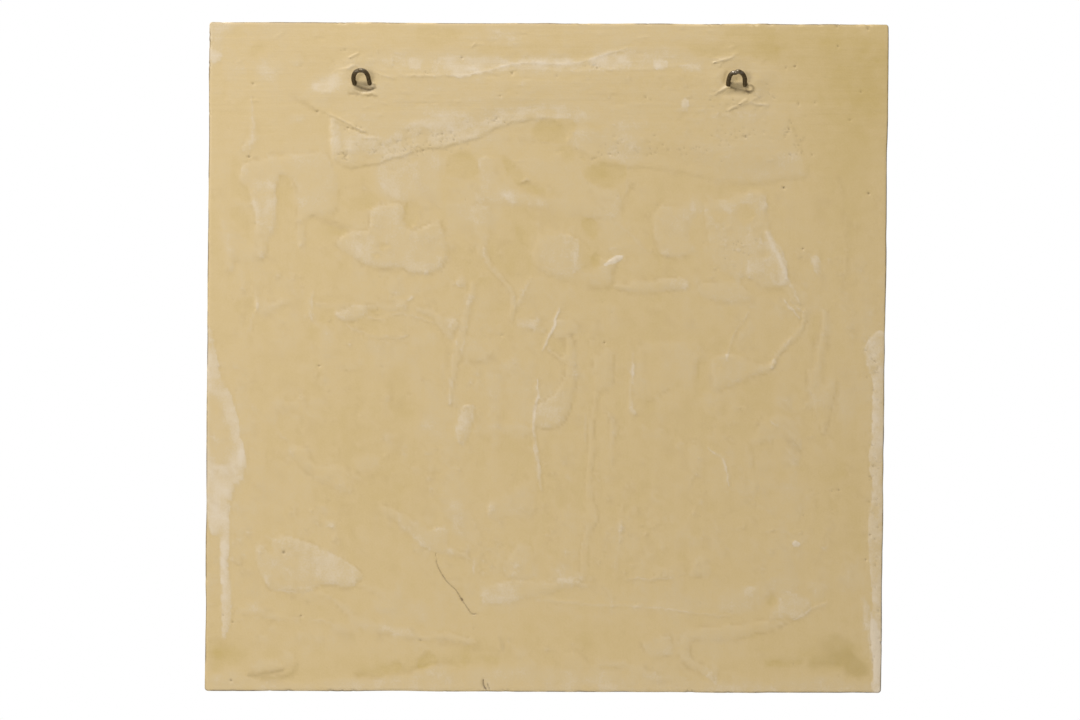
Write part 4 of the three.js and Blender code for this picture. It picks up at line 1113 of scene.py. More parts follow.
# %% The face's sizes
BORDER_WIDTH, MOULDING_WIDTH, FIELD_DEPTH = 30.0, 16.0, 12.0
FIELD = THICKNESS - FIELD_DEPTH
RING_RADIUS, RING_WIDTH, RING_HEIGHT = 166.0, 22.0, 8.0
ROSETTE_LEAVES, OVERLAP_STEP = 8, 0.9
OUTER_LEAF = dict(start=24, length=112, width=72, rise=11, lobes=4, dish=0.5)
INNER_LEAF = dict(start=10, length=62, width=40, rise=15.5, lobes=3, dish=0.35)
BOSS_RADIUS, BOSS_HEIGHT = 17.0, 17.0
FAN_LEAFLETS, FAN_SPREAD, FAN_TUCK, FAN_SHORTEST = 7, 132.0, 3.5, 0.52
FAN_LEAFLET = dict(start=9, length=98, width=23, rise=7.5, lobes=0, dish=0.45)
FAN_BOSS_RADIUS, FAN_BOSS_HEIGHT = 14.0, 8.0
VEINS = 6
FACE_INSET = ARRIS + MOULD_DRAFT
FACE_X, FACE_Z = skin_point(ACROSS, DOWN, FACE_INSET)
U, V = FACE_X - MIDDLE[0], FACE_Z - MIDDLE[1]

# %% [markdown]
# ## Border and moulding
#
# The border stays at full height. Inside it an ogee, which is a double curve, leads down to
# the sunk field that the ornament stands on.

# %% The border and the moulding
inset = np.minimum(half_width(V) - np.abs(U - sideways(V)), HEIGHT / 2 - np.abs(V))
sunk = np.clip(1 - (inset - BORDER_WIDTH) / MOULDING_WIDTH, 0, 1)
ogee = FIELD + (FIELD_DEPTH - 2) * (sunk + np.sin(2 * math.pi * sunk) / 9)
face = ogee + (THICKNESS - ogee) * (1 - ramp(inset, BORDER_WIDTH - 2.1, BORDER_WIDTH - 0.9))
print("face heights", round(float(face.min()), 2), round(float(face.max()), 2))

# %% [markdown]
# ## One leaf, many times
#
# A leaf is one formula: how wide it is along its length, and how high across its width. Turned
# eight times it makes the rosette, and narrowed it makes the fans. A midrib and slanting side
# veins are pressed into it, finer than the solid carries.

# %% Leaves, domes and the ring


def raise_to(height, wall, near):
    """Raises the face near by to a height over the field, where wall runs from 0 to 1."""
    face[near] = np.where(wall > 0, np.maximum(face[near], FIELD + height * wall), face[near])


def leaf(start, length, width, rise, lobes, dish, turn, root=0.0, heading=0.0):
    """One leaf, turned about its root, which lies out along a heading from the middle."""
    du, dv = U + root * math.sin(heading), V - root * math.cos(heading)
    near = du**2 + dv**2 < (start + length) ** 2
    du, dv, angle = du[near], dv[near], heading + turn
    side = du * math.cos(angle) + dv * math.sin(angle)
    out = dv * math.cos(angle) - du * math.sin(angle)
    s = np.clip((out - start) / length, 0, 1)
    notch = 0.16 * (0.5 + 0.5 * np.cos(2 * math.pi * lobes * s)) if lobes else 0.0
    half = width / 2 * (1.02 - s) ** 0.55 * (0.35 + 1.6 * s) / 0.8 * (1 - notch * np.minimum(1, 4 * s))
    across = np.clip(side / half, -1, 1)
    climb = 0.45 + 0.55 * np.sin(math.pi * np.minimum(1, 0.08 + 0.62 * s))
    tip = np.where(s > 0.86, 1 - 2.2 * (s - 0.86), 1)
    body = climb * tip * (1 - dish * across**2) - 0.22 * np.exp(-((across / 0.18) ** 2)) * (1 - s)
    veins = 0.5 + 0.5 * np.cos(2 * math.pi * (VEINS * s - 1.3 * np.abs(across)))
    body = body - 0.10 * veins**3 * ramp(np.abs(across), 0.10, 0.3) * (1 - 0.7 * s)
    room = np.minimum(half - np.abs(side), np.minimum(out - start, start + length - out))
    raise_to(rise * body, ramp(room, 0.0, 1.5), near)


def dome(radius, height, root=0.0, heading=0.0):
    """A round boss on the field."""
    away = np.hypot(U + root * math.sin(heading), V - root * math.cos(heading))
    near = away < radius
    swell = np.sqrt(np.clip(1 - (away[near] / radius) ** 2, 0, 1))
    raise_to(height * (0.45 + 0.55 * swell), ramp(radius - away[near], 0.0, 1.5), near)


from_ring = np.abs(np.hypot(U, V) - RING_RADIUS)
bead = np.sqrt(np.clip(1 - (from_ring / (RING_WIDTH * 0.34)) ** 2, 0, 1))
everywhere = np.ones(U.shape, bool)
ring = RING_HEIGHT * (0.4 + 0.6 * bead)
raise_to(ring.ravel(), ramp(RING_WIDTH / 2 - from_ring, 0.0, 1.5).ravel(), everywhere)
for i in range(ROSETTE_LEAVES):
    turn = 2 * math.pi * i / ROSETTE_LEAVES
    leaf(**{**OUTER_LEAF, "rise": OUTER_LEAF["rise"] - OVERLAP_STEP * (i % 2)}, turn=turn)
    leaf(**INNER_LEAF, turn=turn + math.pi / ROSETTE_LEAVES)
dome(BOSS_RADIUS, BOSS_HEIGHT)
fan_root = RING_RADIUS + RING_WIDTH / 2 + FAN_BOSS_RADIUS - FAN_TUCK
for corner in range(4):
    heading = math.radians(45 + 90 * corner)
    for i in range(FAN_LEAFLETS):
        side = 2 * i / (FAN_LEAFLETS - 1) - 1
        size = 1 - (1 - FAN_SHORTEST) * abs(side) ** 1.3
        leaflet = {**FAN_LEAFLET, "length": FAN_LEAFLET["length"] * size}
        leaf(**leaflet, turn=-side * math.radians(FAN_SPREAD) / 2, root=fan_root, heading=heading)
    dome(FAN_BOSS_RADIUS, FAN_BOSS_HEIGHT, fan_root, heading)


def blurred(values, reach):
    """The values averaged over a square reach lattice steps each way."""
    padded = np.pad(values, reach + 1, mode="edge").cumsum(0).cumsum(1)
    size = 2 * reach + 1
    total = padded[size:, size:] - padded[:-size, size:] - padded[size:, :-size]
    total = (total + padded[:-size, :-size]) / size**2
    return total[:values.shape[0], :values.shape[1]]


# The face is laid paler on its high points and darker in its hollows.
hollow = np.clip((blurred(face, 5) - face) / 2.2, 0, 1)
face_sheets = {
    "height": face + 0.10 * blurred(clouds(40, 40, 61), 3),
    "pale": 0.22 * np.clip((face - blurred(face, 9)) / 2.5, 0, 1) + 0.12 * clouds(60, 60, 62),
    "rim": 0.55 * hollow,
    "soil_and_shade": 0.30 * hollow**2,
}
print("carved face drawn; highest", round(float(face.max() - FIELD), 1), "mm above the field")

# %% [markdown]
# ## A mesh that is fine only where it must be
#
# Laying a square on every lattice step would take millions of faces for a surface that is
# mostly plain. So the mesh starts with big squares and halves each one while it would miss the
# drawing by more than a tolerance. Neighbours never differ by more than one halving, and where
# they differ the bigger square is filled with triangles from the middle of that side, so no gap
# is left.

# %% Halving the squares
BACK_LIMITS = {"height": 0.12, "pale": 0.28, "rim": 0.50, "soil_and_shade": 0.50}
FACE_LIMITS = {"height": 0.58}
SPARING = 3


def by_blocks(values, size):
    """The largest value in each square of so many lattice steps."""
    cells = values.shape[0] // size
    return values.reshape(cells, size, cells, size).max((1, 3))


def missed(values, size):
    """How far every lattice point lies from squares of so many steps stretched flat."""
    corner = values[::size, ::size]
    t = np.arange(size) / size
    rows = corner[:-1, None, :] * (1 - t)[:, None] + corner[1:, None, :] * t[:, None]
    rows = rows.reshape(-1, corner.shape[1])
    flat = rows[:, :-1, None] * (1 - t) + rows[:, 1:, None] * t
    return np.abs(values[:-1, :-1] - flat.reshape(rows.shape[0], -1))


def grown(mask):
    """The mask and all of its neighbours."""
    wide = np.pad(mask, 1)
    count = mask.shape[0]
    steps = [(i, j) for i in range(3) for j in range(3)]
    return np.any([wide[i:i + count, j:j + count] for i, j in steps], axis=0)


def halved(drawn, tolerance, finest, border):
    """Which squares to halve, level by level, so that no sheet is missed by its tolerance.

    SPARING widens the tolerance for the last halving, which costs the most. The first border
    levels are halved all round the edge.
    """
    split = []
    for level in range(finest):
        size = 2 ** (HALVINGS - level)
        need = np.zeros((FINE // size,) * 2, bool)
        for name, limit in tolerance.items():
            allowed = limit * (SPARING if level == finest - 1 else 1)
            need |= by_blocks(missed(drawn[name], size), size) > allowed
        if level < border:
            need[[0, -1], :] = need[:, [0, -1]] = True
        reach = 2 if level else 1
        for rows in (slice(0, reach), slice(-reach, None)):
            for columns in (slice(0, reach), slice(-reach, None)):
                need[rows, columns] = True
        split.append(need)
    for level in range(finest - 2, -1, -1):
        near = grown(split[level + 1])
        split[level] |= near.reshape(split[level].shape[0], 2, -1, 2).any((1, 3))
    return split


def squares(split, finest):
    """Faces as lists of lattice points, from the squares that aren't halved any more."""
    faces = []
    wide = FINE + 1
    exist = np.ones((COARSE, COARSE), bool)
    for level in range(finest + 1):
        size = 2 ** (HALVINGS - level)
        again = split[level] & exist if level < finest else np.zeros_like(exist)
        around = np.pad(again, 1)
        rows, columns = np.nonzero(exist & ~again)
        fine = [around[rows, columns + 1], around[rows + 1, columns + 2],
                around[rows + 2, columns + 1], around[rows + 1, columns]]
        top, left, half = rows * size, columns * size, size // 2
        corner = [top * wide + left, top * wide + left + size,
                  (top + size) * wide + left + size, (top + size) * wide + left]
        middle = [top * wide + left + half, (top + half) * wide + left + size,
                  (top + size) * wide + left + half, (top + half) * wide + left]
        whole = ~np.any(fine, axis=0)
        faces.extend(np.stack(corner, 1)[whole].tolist())
        for i in np.nonzero(~whole)[0]:
            edge = []
            for side in range(4):
                edge.append(int(corner[side][i]))
                if fine[side][i]:
                    edge.append(int(middle[side][i]))
            first = next(side for side in range(4) if fine[side][i])
            at = edge.index(int(middle[first][i]))
            edge = edge[at:] + edge[:at]
            faces.extend([edge[0], a, b] for a, b in zip(edge[1:], edge[2:]))
        exist = again.repeat(2, 0).repeat(2, 1)
    return faces


back_split = halved(sheets, BACK_LIMITS, HALVINGS, 2)
back_faces = squares(back_split, HALVINGS)
face_split = halved(face_sheets, FACE_LIMITS, HALVINGS - 1, 1)
face_faces = squares(face_split, HALVINGS - 1)
print("back faces", len(back_faces), "carved faces", len(face_faces))

# %% [markdown]
# ## From squares to a solid cast
#
# The two skins will become one closed body. Its corners are rounded by easing the lattice near
# them, so a corner needs no points of its own.

# %% Places in space
SOFT_CORNER = CORNER_RADIUS - ARRIS


def eased(points, inset):
    """x, z of lattice points with rounded corners, the corner centres, and the way outwards."""
    rows, columns = np.divmod(points, FINE + 1)
    across, down = columns / FINE, rows / FINE
    x, z = skin_point(across, down, inset)
    wide, high = 2 * half_width(0) - 2 * inset, HEIGHT - 2 * inset
    left, right = across * wide, (1 - across) * wide
    top, bottom = down * high, (1 - down) * high
    dx = np.maximum(0, SOFT_CORNER - left) - np.maximum(0, SOFT_CORNER - right)
    dz = np.maximum(0, SOFT_CORNER - top) - np.maximum(0, SOFT_CORNER - bottom)
    length = np.hypot(dx, dz)
    square = np.maximum(np.abs(dx), np.abs(dz))
    scale = np.where(length > 0, square / np.maximum(length, 1e-9), 0)
    centre = np.stack([x - dx, z - dz], 1)
    outward = np.stack([dx, dz], 1) / np.maximum(length, 1e-9)[:, None]
    return centre + np.stack([dx, dz], 1) * scale[:, None], centre, outward


def around(points):
    """How far round the border each point lies, from 0 to 4, or -1 inside it."""
    rows, columns = np.divmod(points, FINE + 1)
    place = np.full(len(points), -1.0)
    place[columns == 0] = 3 + (FINE - rows[columns == 0]) / FINE
    place[rows == FINE] = 2 + (FINE - columns[rows == FINE]) / FINE
    place[columns == FINE] = 1 + rows[columns == FINE] / FINE
    place[rows == 0] = columns[rows == 0] / FINE
    place[(rows == FINE) & (columns == 0)] = 3
    return place


print("corner rounded by", CORNER_RADIUS, "mm")

# %% [markdown]
# ## Edges that have seen wear
#
# No edge of the cast is straight. It waves by half a millimetre, and the arris has lost small chips. The
# arris is darker in patches, and darkest near each end of the foot. The same wave moves the whole thickness,
# as the mould's side did.

# %% Waves, chips and a darker arris
MEAN_SIDE = 565


def lengthwise(place, size, seed):
    """Smooth noise from -1 to 1 along the border, in runs of about size millimetres."""
    steps = int(4 * MEAN_SIDE / size)
    values = np.random.default_rng(seed).uniform(-1, 1, steps)
    at = np.asarray(place) / 4 * steps
    i, t = np.floor(at).astype(int), at % 1
    t = t * t * (3 - 2 * t)
    return values[i % steps] * (1 - t) + values[(i + 1) % steps] * t


def edge_wave(place):
    """How far the side stands out of its straight line."""
    return 0.35 * lengthwise(place, 45, 71) + 0.18 * lengthwise(place, 14, 72)


def chipped(place):
    """How deep the arris is chipped, in millimetres."""
    bites = ramp(lengthwise(place, 3.2, 73), 0.62, 0.95) * ramp(lengthwise(place, 40, 74), -0.1, 0.6)
    return 0.9 * bites


def edge_darkening(place):
    """How much darker the arris is, with a darker spot near each end of the foot."""
    patchy = ramp(lengthwise(place, 14, 75) + 0.6 * lengthwise(place, 3, 76), -1.1, 0.7)
    stain = np.exp(-(((place - 2.93) / 0.02) ** 2)) + np.exp(-(((place - 2.03) / 0.014) ** 2))
    return np.clip(0.80 * patchy + 0.5 * stain, 0, 1)


print("mean edge darkening", round(float(edge_darkening(np.linspace(0, 4, 2000)).mean()), 2))

# %% [markdown]
# ## One closed body
#
# Each skin is laid, and its border is rolled over the arris in a few rings. The side then runs
# down from the back's last ring, leaning in by the mould's draft. The two borders have
# different numbers of points, so a last band is zipped between them.

# %% The closed body
ARRIS_TURNS = (30, 60, 90)
SIDE_DEPTHS = (5.0, 12.0, 20.0, 28.0)


class Body:
    """Points, their sheets and the faces between them."""

    def __init__(self):
        self.places, self.values, self.faces, self.count = [], [], [], 0

    def add(self, x, y, z, values):
        """Adds points and returns their numbers."""
        self.places.append(np.stack([x, y, z], 1))
        self.values.append(np.stack(values, 1))
        self.count += len(x)
        return np.arange(self.count - len(x), self.count)

    def band(self, first, second):
        """Faces between two rings with the same number of points."""
        for i in range(len(first)):
            j = (i + 1) % len(first)
            self.faces.append([int(n) for n in (first[i], first[j], second[j], second[i])])

    def zip(self, first, first_place, second, second_place):
        """Triangles between two rings with different numbers of points."""
        i = j = 0
        while i < len(first) or j < len(second):
            a = first_place[i + 1] if i + 1 < len(first) else 4.0 + (i + 1 > len(first))
            b = second_place[j + 1] if j + 1 < len(second) else 4.0 + (j + 1 > len(second))
            if j == len(second) or (i < len(first) and a <= b):
                corner = (first[i], first[(i + 1) % len(first)], second[j % len(second)])
                i += 1
            else:
                corner = (first[i % len(first)], second[(j + 1) % len(second)], second[j])
                j += 1
            self.faces.append([int(n) for n in corner])


def skin(body, faces, drawn, inset, level, facing):
    """Adds one skin and its rolled edge, and returns the outermost ring and its places."""
    flat = np.concatenate([np.array(f) for f in faces if len(f) == 4]
                          + [np.array([n for f in faces if len(f) == 3 for n in f], int)])
    used = np.unique(flat)
    number = np.full((FINE + 1) ** 2, -1)
    place = around(used)
    xz, centre, outward = eased(used, inset)
    sheet = {name: drawn[name].ravel()[used] for name in drawn}
    y = level + facing * sheet["height"]
    values = [sheet["pale"], sheet["rim"], sheet["soil_and_shade"]]
    number[used] = body.add(xz[:, 0], y, xz[:, 1], values)
    body.faces.extend([[int(number[n]) for n in f] for f in faces])
    border = np.nonzero(place >= 0)[0]
    border = border[np.argsort(place[border])]
    place, centre, outward, y = place[border], centre[border], outward[border], y[border]
    # The arris is laid darker in patches along its length.
    dirt = edge_darkening(place)
    ring = number[used][border]
    for turn in ARRIS_TURNS:
        out = SOFT_CORNER + ARRIS * math.sin(math.radians(turn))
        lean = 1 if turn < 90 else 0.3
        at = centre + outward * (out + edge_wave(place) - lean * chipped(place))[:, None]
        fall = ARRIS * (1 - math.cos(math.radians(turn))) + lean * 0.5 * chipped(place)
        rolled_values = [values[0][border], values[1][border], dirt * (1.0 if turn < 90 else 0.55)]
        following = body.add(at[:, 0], y - facing * fall, at[:, 1], rolled_values)
        body.band(ring, following)
        ring = following
    return ring, place, centre, outward


body = Body()
back_ring, place, centre, outward = skin(body, back_faces, sheets, ARRIS, BACK_Y, 1)
for depth in SIDE_DEPTHS:
    draft = MOULD_DRAFT * depth / THICKNESS
    at = centre + outward * (CORNER_RADIUS - draft + edge_wave(place))[:, None]
    # The sides are laid darker in patches too.
    side_dark = 0.35 + 0.25 * lengthwise(place, 30, 80 + int(depth))
    side_values = [0.1 * lengthwise(place, 60, 91), 0 * place, np.clip(side_dark * 0.5, 0, 1)]
    following = body.add(at[:, 0], 0 * place + BACK_Y - depth, at[:, 1], side_values)
    body.band(back_ring, following)
    back_ring = following
face_ring, face_place, *_ = skin(body, face_faces, face_sheets, FACE_INSET, BACK_Y, -1)
body.zip(back_ring, place, face_ring, face_place)
print("points", body.count, "faces", len(body.faces))

# %% [markdown]
# ## Handing the body to Blender
#
# The sheets ride along as attributes, one number for each point. Faces are turned to look
# outwards, and shading is smooth except over real edges.

# %% The cast as an object


def mesh_object(name, places, faces, attributes=None, sharp=None):
    """A piece of the scene from points in millimetres."""
    mesh = bpy.data.meshes.new(name)
    mesh.from_pydata((np.asarray(places, float) * MM).tolist(), [], faces)
    for key, values in (attributes or {}).items():
        mesh.attributes.new(key, "FLOAT", "POINT").data.foreach_set(
            "value", np.asarray(values, np.float32))
    work = bmesh.new()
    work.from_mesh(mesh)
    bmesh.ops.recalc_face_normals(work, faces=work.faces)
    work.to_mesh(mesh)
    work.free()
    mesh.shade_smooth()
    if sharp:
        mesh.set_sharp_from_angle(angle=math.radians(sharp))
    piece = bpy.data.objects.new(name, mesh)
    bpy.context.scene.collection.objects.link(piece)
    return piece


values = np.concatenate(body.values)
panel = mesh_object("cast_panel", np.concatenate(body.places), body.faces,
                    dict(pale=values[:, 0], rim=values[:, 1], soil_and_shade=values[:, 2]), sharp=62)
triangles = sum(len(face) - 2 for face in body.faces)
print("cast panel:", triangles, "triangles")

# %% [markdown]
# ## The wire loops
#
# Each loop is one piece of iron wire bent over a finger, with both legs pushed into the wet plaster at a
# slant. A curve with a bevel would do, but a tube built from its own centre line can also be dented and can
# carry a mark of wear, with a painted highlight on its crown. The two loops aren't twins: one is round, and
# the other has a flat spot and a hump.

# %% Wire
LEG_IN_PLASTER = FIELD / 2 / math.sin(LOOP_LEAN)
LEFT_LOOP_LINE = [
    (0.92, 0.04), (1.04, 0.34), (0.95, 0.62), (0.62, 0.84), (0.1, 0.91), (-0.42, 0.85),
    (-0.76, 0.62), (-0.9, 0.34), (-0.99, 0.04),
]
RIGHT_LOOP_LINE = [
    (1.22, 0.04), (1.16, 0.4), (1.02, 0.66), (0.72, 0.82), (0.38, 0.84), (0.04, 0.91),
    (-0.4, 0.84), (-0.78, 0.6), (-0.9, 0.32), (-0.92, 0.04),
]


def wire_path(line, x, each=10):
    """The loop's centre line in millimetres, with its legs run on into the plaster."""
    buried = -LEG_IN_PLASTER / LOOP_HEIGHT
    shares = [(line[0][0], buried), (line[0][0], buried / 2), *line,
              (line[-1][0], buried / 2), (line[-1][0], buried)]
    up = np.array([0, math.sin(LOOP_LEAN), math.cos(LOOP_LEAN)])
    at = [np.array([x + a * LOOP_HALF_WIDTH, BACK_Y, -HOOK_RISE]) + s * LOOP_HEIGHT * up
          for a, s in shares]
    at = [2 * at[0] - at[1], *at, 2 * at[-1] - at[-2]]
    path = []
    for a, b, c, d in zip(at, at[1:], at[2:], at[3:]):
        gaps = [max(np.linalg.norm(q - p) ** 0.5, 1e-4) for p, q in ((a, b), (b, c), (c, d))]
        m1 = ((b - a) / gaps[0] - (c - a) / (gaps[0] + gaps[1]) + (c - b) / gaps[1]) * gaps[1]
        m2 = ((c - b) / gaps[1] - (d - b) / (gaps[1] + gaps[2]) + (d - c) / gaps[2]) * gaps[1]
        for t in np.arange(each) / each:
            hermite = (2 * t**3 - 3 * t**2 + 1) * b + (t**3 - 2 * t**2 + t) * m1
            path.append(hermite + (3 * t**2 - 2 * t**3) * c + (t**3 - t**2) * m2)
    return np.array(path + [at[-2]])


def wire_loop(name, line, x, seed, sides=20):
    """One loop of bent wire."""
    path = wire_path(line, x)
    tangent = np.gradient(path, axis=0)
    tangent /= np.linalg.norm(tangent, axis=1)[:, None]
    normal = np.cross([0, math.sin(LOOP_LEAN), math.cos(LOOP_LEAN)], [1.0, 0, 0])
    inward = np.cross(tangent, normal)
    angle = np.arange(sides) / sides * 2 * math.pi
    dents = np.random.default_rng(seed).uniform(-1, 1, (len(path) // 3 + 2, sides // 4))
    dents = dents.repeat(3, 0)[:len(path)].repeat(4, 1)
    dents = (dents + np.roll(dents, 1, 0) + np.roll(dents, 2, 0) + np.roll(dents, 1, 1)) / 4
    radius = WIRE / 2 * (1.07 + 0.04 * dents)
    ring = np.cos(angle)[:, None] * normal + np.sin(angle)[:, None] * inward[:, None, :]
    places = (path[:, None, :] + radius[..., None] * ring).reshape(-1, 3)
    count = len(path)
    faces = [[i * sides + j, i * sides + (j + 1) % sides,
              (i + 1) * sides + (j + 1) % sides, (i + 1) * sides + j]
             for i in range(count - 1) for j in range(sides)]
    faces += [list(range(sides))[::-1], list(range((count - 1) * sides, count * sides))]
    high = (places[:, 2] + HOOK_RISE) / (LOOP_HEIGHT * math.cos(LOOP_LEAN))
    # Paler at the crown: rubbed wear and a painted highlight.
    wear_and_highlight = ramp(high, 0.66, 0.95)
    crust = 1 - ramp(places[:, 1] - BACK_Y, 0.3, 2.6)
    return mesh_object(name, places, faces, dict(wear_and_highlight=wear_and_highlight, crust=crust), sharp=60)


left_loop = wire_loop("left_loop", LEFT_LOOP_LINE, LOOP_X, 5)
right_loop = wire_loop("right_loop", RIGHT_LOOP_LINE, -LOOP_X, 6)
print("loops", len(left_loop.data.vertices), len(right_loop.data.vertices), "points each")

# %% [markdown]
# ## Tools for materials
#
# A few lines keep the node trees readable. A group hands back colours and masks, and the
# shader itself stays in the material, where its plain settings sit on its own sockets.

# %% Node helpers


def add(tree, kind, place, **settings):
    """A node at a place in the tree, with its settings."""
    node = tree.nodes.new(kind)
    node.location = (place[0] * 200, place[1] * -180)
    for key, value in settings.items():
        setattr(node, key, value)
    return node


def group_of(name, inputs, outputs):
    """An empty node group with named sockets, and its two end nodes."""
    tree = bpy.data.node_groups.new(name, "ShaderNodeTree")
    for socket, kind, default in inputs:
        made = tree.interface.new_socket(socket, in_out="INPUT", socket_type=kind)
        made.default_value = default
    for socket, kind in outputs:
        tree.interface.new_socket(socket, in_out="OUTPUT", socket_type=kind)
    return tree, add(tree, "NodeGroupInput", (-6, 0)), add(tree, "NodeGroupOutput", (8, 0))


def use(tree, group, place, **values):
    """A group placed in a tree, with some of its inputs set."""
    node = add(tree, "ShaderNodeGroup", place, node_tree=group)
    for key, value in values.items():
        node.inputs[key.replace("_", " ")].default_value = value
    return node


def maths(tree, operation, place, first, second):
    """One sum worked out from two sockets or numbers."""
    node = add(tree, "ShaderNodeMath", place, operation=operation)
    for socket, value in zip(node.inputs, (first, second)):
        if isinstance(value, (int, float)):
            socket.default_value = value
        else:
            tree.links.new(value, socket)
    return node.outputs[0]


def blend(tree, place, share, first, second):
    """One colour laid over another."""
    node = add(tree, "ShaderNodeMix", place, data_type="RGBA", clamp_factor=True)
    for number, value in ((0, share), (6, first), (7, second)):
        socket = node.inputs[number]
        if isinstance(value, (int, float)):
            socket.default_value = value
        elif isinstance(value, tuple):
            socket.default_value = (*value, 1.0)
        else:
            tree.links.new(value, socket)
    return node.outputs[2]


def scaled(tree, place, value, low, high, out_low=0.0, out_high=1.0):
    """A value carried from one range to another, held inside it."""
    node = add(tree, "ShaderNodeMapRange", place, clamp=True)
    for socket, number in zip(list(node.inputs)[1:5], (low, high, out_low, out_high)):
        socket.default_value = number
    tree.links.new(value, node.inputs[0])
    return node.outputs[0]


FLOAT, COLOUR, VECTOR = "NodeSocketFloat", "NodeSocketColor", "NodeSocketVector"
print("node helpers ready")

# %% [markdown]
# ## A group for mottling
#
# Nothing made by hand is one even colour. This group gives a soft value from 0 to 1 at any
# size, and can be stretched into strokes. The plaster, the wire and the floor all use it.

# %% Mottle
mottle, start, end = group_of(
    "Mottle",
    [("Vector", VECTOR, (0, 0, 0)), ("Size in mm", FLOAT, 10.0), ("Stretch", VECTOR, (1, 1, 1)),
     ("Roughness", FLOAT, 0.55)],
    [("Value", FLOAT)])
per_metre = maths(mottle, "DIVIDE", (-4, 0), 1000.0, start.outputs["Size in mm"])
drawn_out = add(mottle, "ShaderNodeVectorMath", (-4, 1), operation="MULTIPLY")
mottle.links.new(start.outputs["Vector"], drawn_out.inputs[0])
mottle.links.new(start.outputs["Stretch"], drawn_out.inputs[1])
noise = add(mottle, "ShaderNodeTexNoise", (-2, 0))
noise.inputs["Detail"].default_value = 4.0
mottle.links.new(drawn_out.outputs[0], noise.inputs["Vector"])
mottle.links.new(per_metre, noise.inputs["Scale"])
mottle.links.new(start.outputs["Roughness"], noise.inputs["Roughness"])
mottle.links.new(scaled(mottle, (1, 0), noise.outputs[0], 0.28, 0.72), end.inputs["Value"])
print("group", mottle.name)

# %% [markdown]
# ## A group for shellac on plaster
#
# Shellac sinks into bare plaster and turns it tan. A thin slip under it is only a little greyer, a thick one
# stays pale, and the shellac pools dark along a slip's edge. The pooled colour and the dirt colour also lay
# painted shade, under the coat's lip and at the loops' feet. The group takes the three drawn sheets and adds
# what was too fine to draw: trowel strokes over the head, runs down the middle, and mottling.

# %% Shellac on plaster
TAN = (0.604, 0.453, 0.226)
SLIP = (0.603, 0.465, 0.259)
PALE = (0.672, 0.558, 0.400)
DARK = (0.530, 0.387, 0.146)
POOLED = (0.380, 0.258, 0.105)
DIRT_AND_SHADE = (0.090, 0.055, 0.028)
shellac, start, end = group_of(
    "Shellac on plaster",
    [("Vector", VECTOR, (0, 0, 0)), ("Pale", FLOAT, 0.0), ("Rim", FLOAT, 0.0), ("Soil_And_Shade", FLOAT, 0.0)],
    [("Color", COLOUR), ("Roughness", FLOAT), ("Height", FLOAT)])
vector = start.outputs["Vector"]


def spread(place, size, stretch=(1, 1, 1), rough=0.55):
    """A mottle in the shellac group."""
    node = use(shellac, mottle, place, Size_in_mm=size, Stretch=stretch, Roughness=rough)
    shellac.links.new(vector, node.inputs["Vector"])
    return node.outputs[0]


parts = add(shellac, "ShaderNodeSeparateXYZ", (-5, 3))
shellac.links.new(vector, parts.inputs[0])
head_share = scaled(shellac, (-4, 3), parts.outputs["Z"], -0.10, -0.03)
broad, small, grain = spread((-4, 4), 38), spread((-4, 5), 9), spread((-4, 6), 1.6)
strokes = spread((-4, 7), 5.0, (0.06, 0.3, 1))
trickles = spread((-4, 8), 13.0, (1, 0.3, 0.10))
swept = add(shellac, "ShaderNodeMix", (-2, 7), data_type="FLOAT")
shellac.links.new(head_share, swept.inputs[0])
shellac.links.new(trickles, swept.inputs[2])
shellac.links.new(strokes, swept.inputs[3])
swept = swept.outputs[0]
cast = start.outputs["Pale"]
for row, (value, amount) in enumerate(((broad, 0.18), (small, 0.22), (grain, 0.28), (swept, 0.18))):
    centred = maths(shellac, "SUBTRACT", (-1, row + 3), value, 0.5)
    shift = maths(shellac, "MULTIPLY", (0, row + 3), centred, amount)
    cast = maths(shellac, "ADD", (1, row + 3), cast, shift)
thinly = scaled(shellac, (2, 0), cast, 0.0, 0.4)
thickly = scaled(shellac, (2, -1), cast, 0.35, 1.0)
darker = scaled(shellac, (2, 1), cast, 0.0, -1.0)
colour = blend(shellac, (3, 0), thinly, TAN, SLIP)
colour = blend(shellac, (3, -1), thickly, colour, PALE)
colour = blend(shellac, (4, 0), darker, colour, DARK)
uneven = scaled(shellac, (3, 3), small, 0, 1, 0.45, 1.0)
pooled = maths(shellac, "MULTIPLY", (4, 2), start.outputs["Rim"], uneven)
colour = blend(shellac, (5, 0), maths(shellac, "MULTIPLY", (5, 2), pooled, 0.85), colour, POOLED)
grainy = scaled(shellac, (4, 4), grain, 0, 1, 0.6, 1.0)
dirt_and_shade = maths(shellac, "MULTIPLY", (5, 3), start.outputs["Soil_And_Shade"], grainy)
colour = blend(shellac, (6, 0), dirt_and_shade, colour, DIRT_AND_SHADE)
shellac.links.new(colour, end.inputs["Color"])
dull_slip = scaled(shellac, (5, 5), cast, -1, 1, 0.40, 0.62)
dull_dirt_and_shade = maths(shellac, "MULTIPLY", (6, 3), start.outputs["Soil_And_Shade"], 0.25)
rough = maths(shellac, "ADD", (6, 2), dull_slip, dull_dirt_and_shade)
shellac.links.new(rough, end.inputs["Roughness"])
relief = maths(shellac, "MULTIPLY", (5, 6), swept, 0.5)
for row, (value, amount) in enumerate(((small, 0.35), (grain, 0.15))):
    finer = maths(shellac, "MULTIPLY", (5, row + 7), value, amount)
    relief = maths(shellac, "ADD", (6 + row, 5), relief, finer)
shellac.links.new(relief, end.inputs["Height"])
print("group", shellac.name)

# %% [markdown]
# ## The plaster material
#
# The group feeds an ordinary Principled shader. A thin coat over it is the shellac's own skin,
# with a soft, waxy shine.

# %% Shellacked plaster


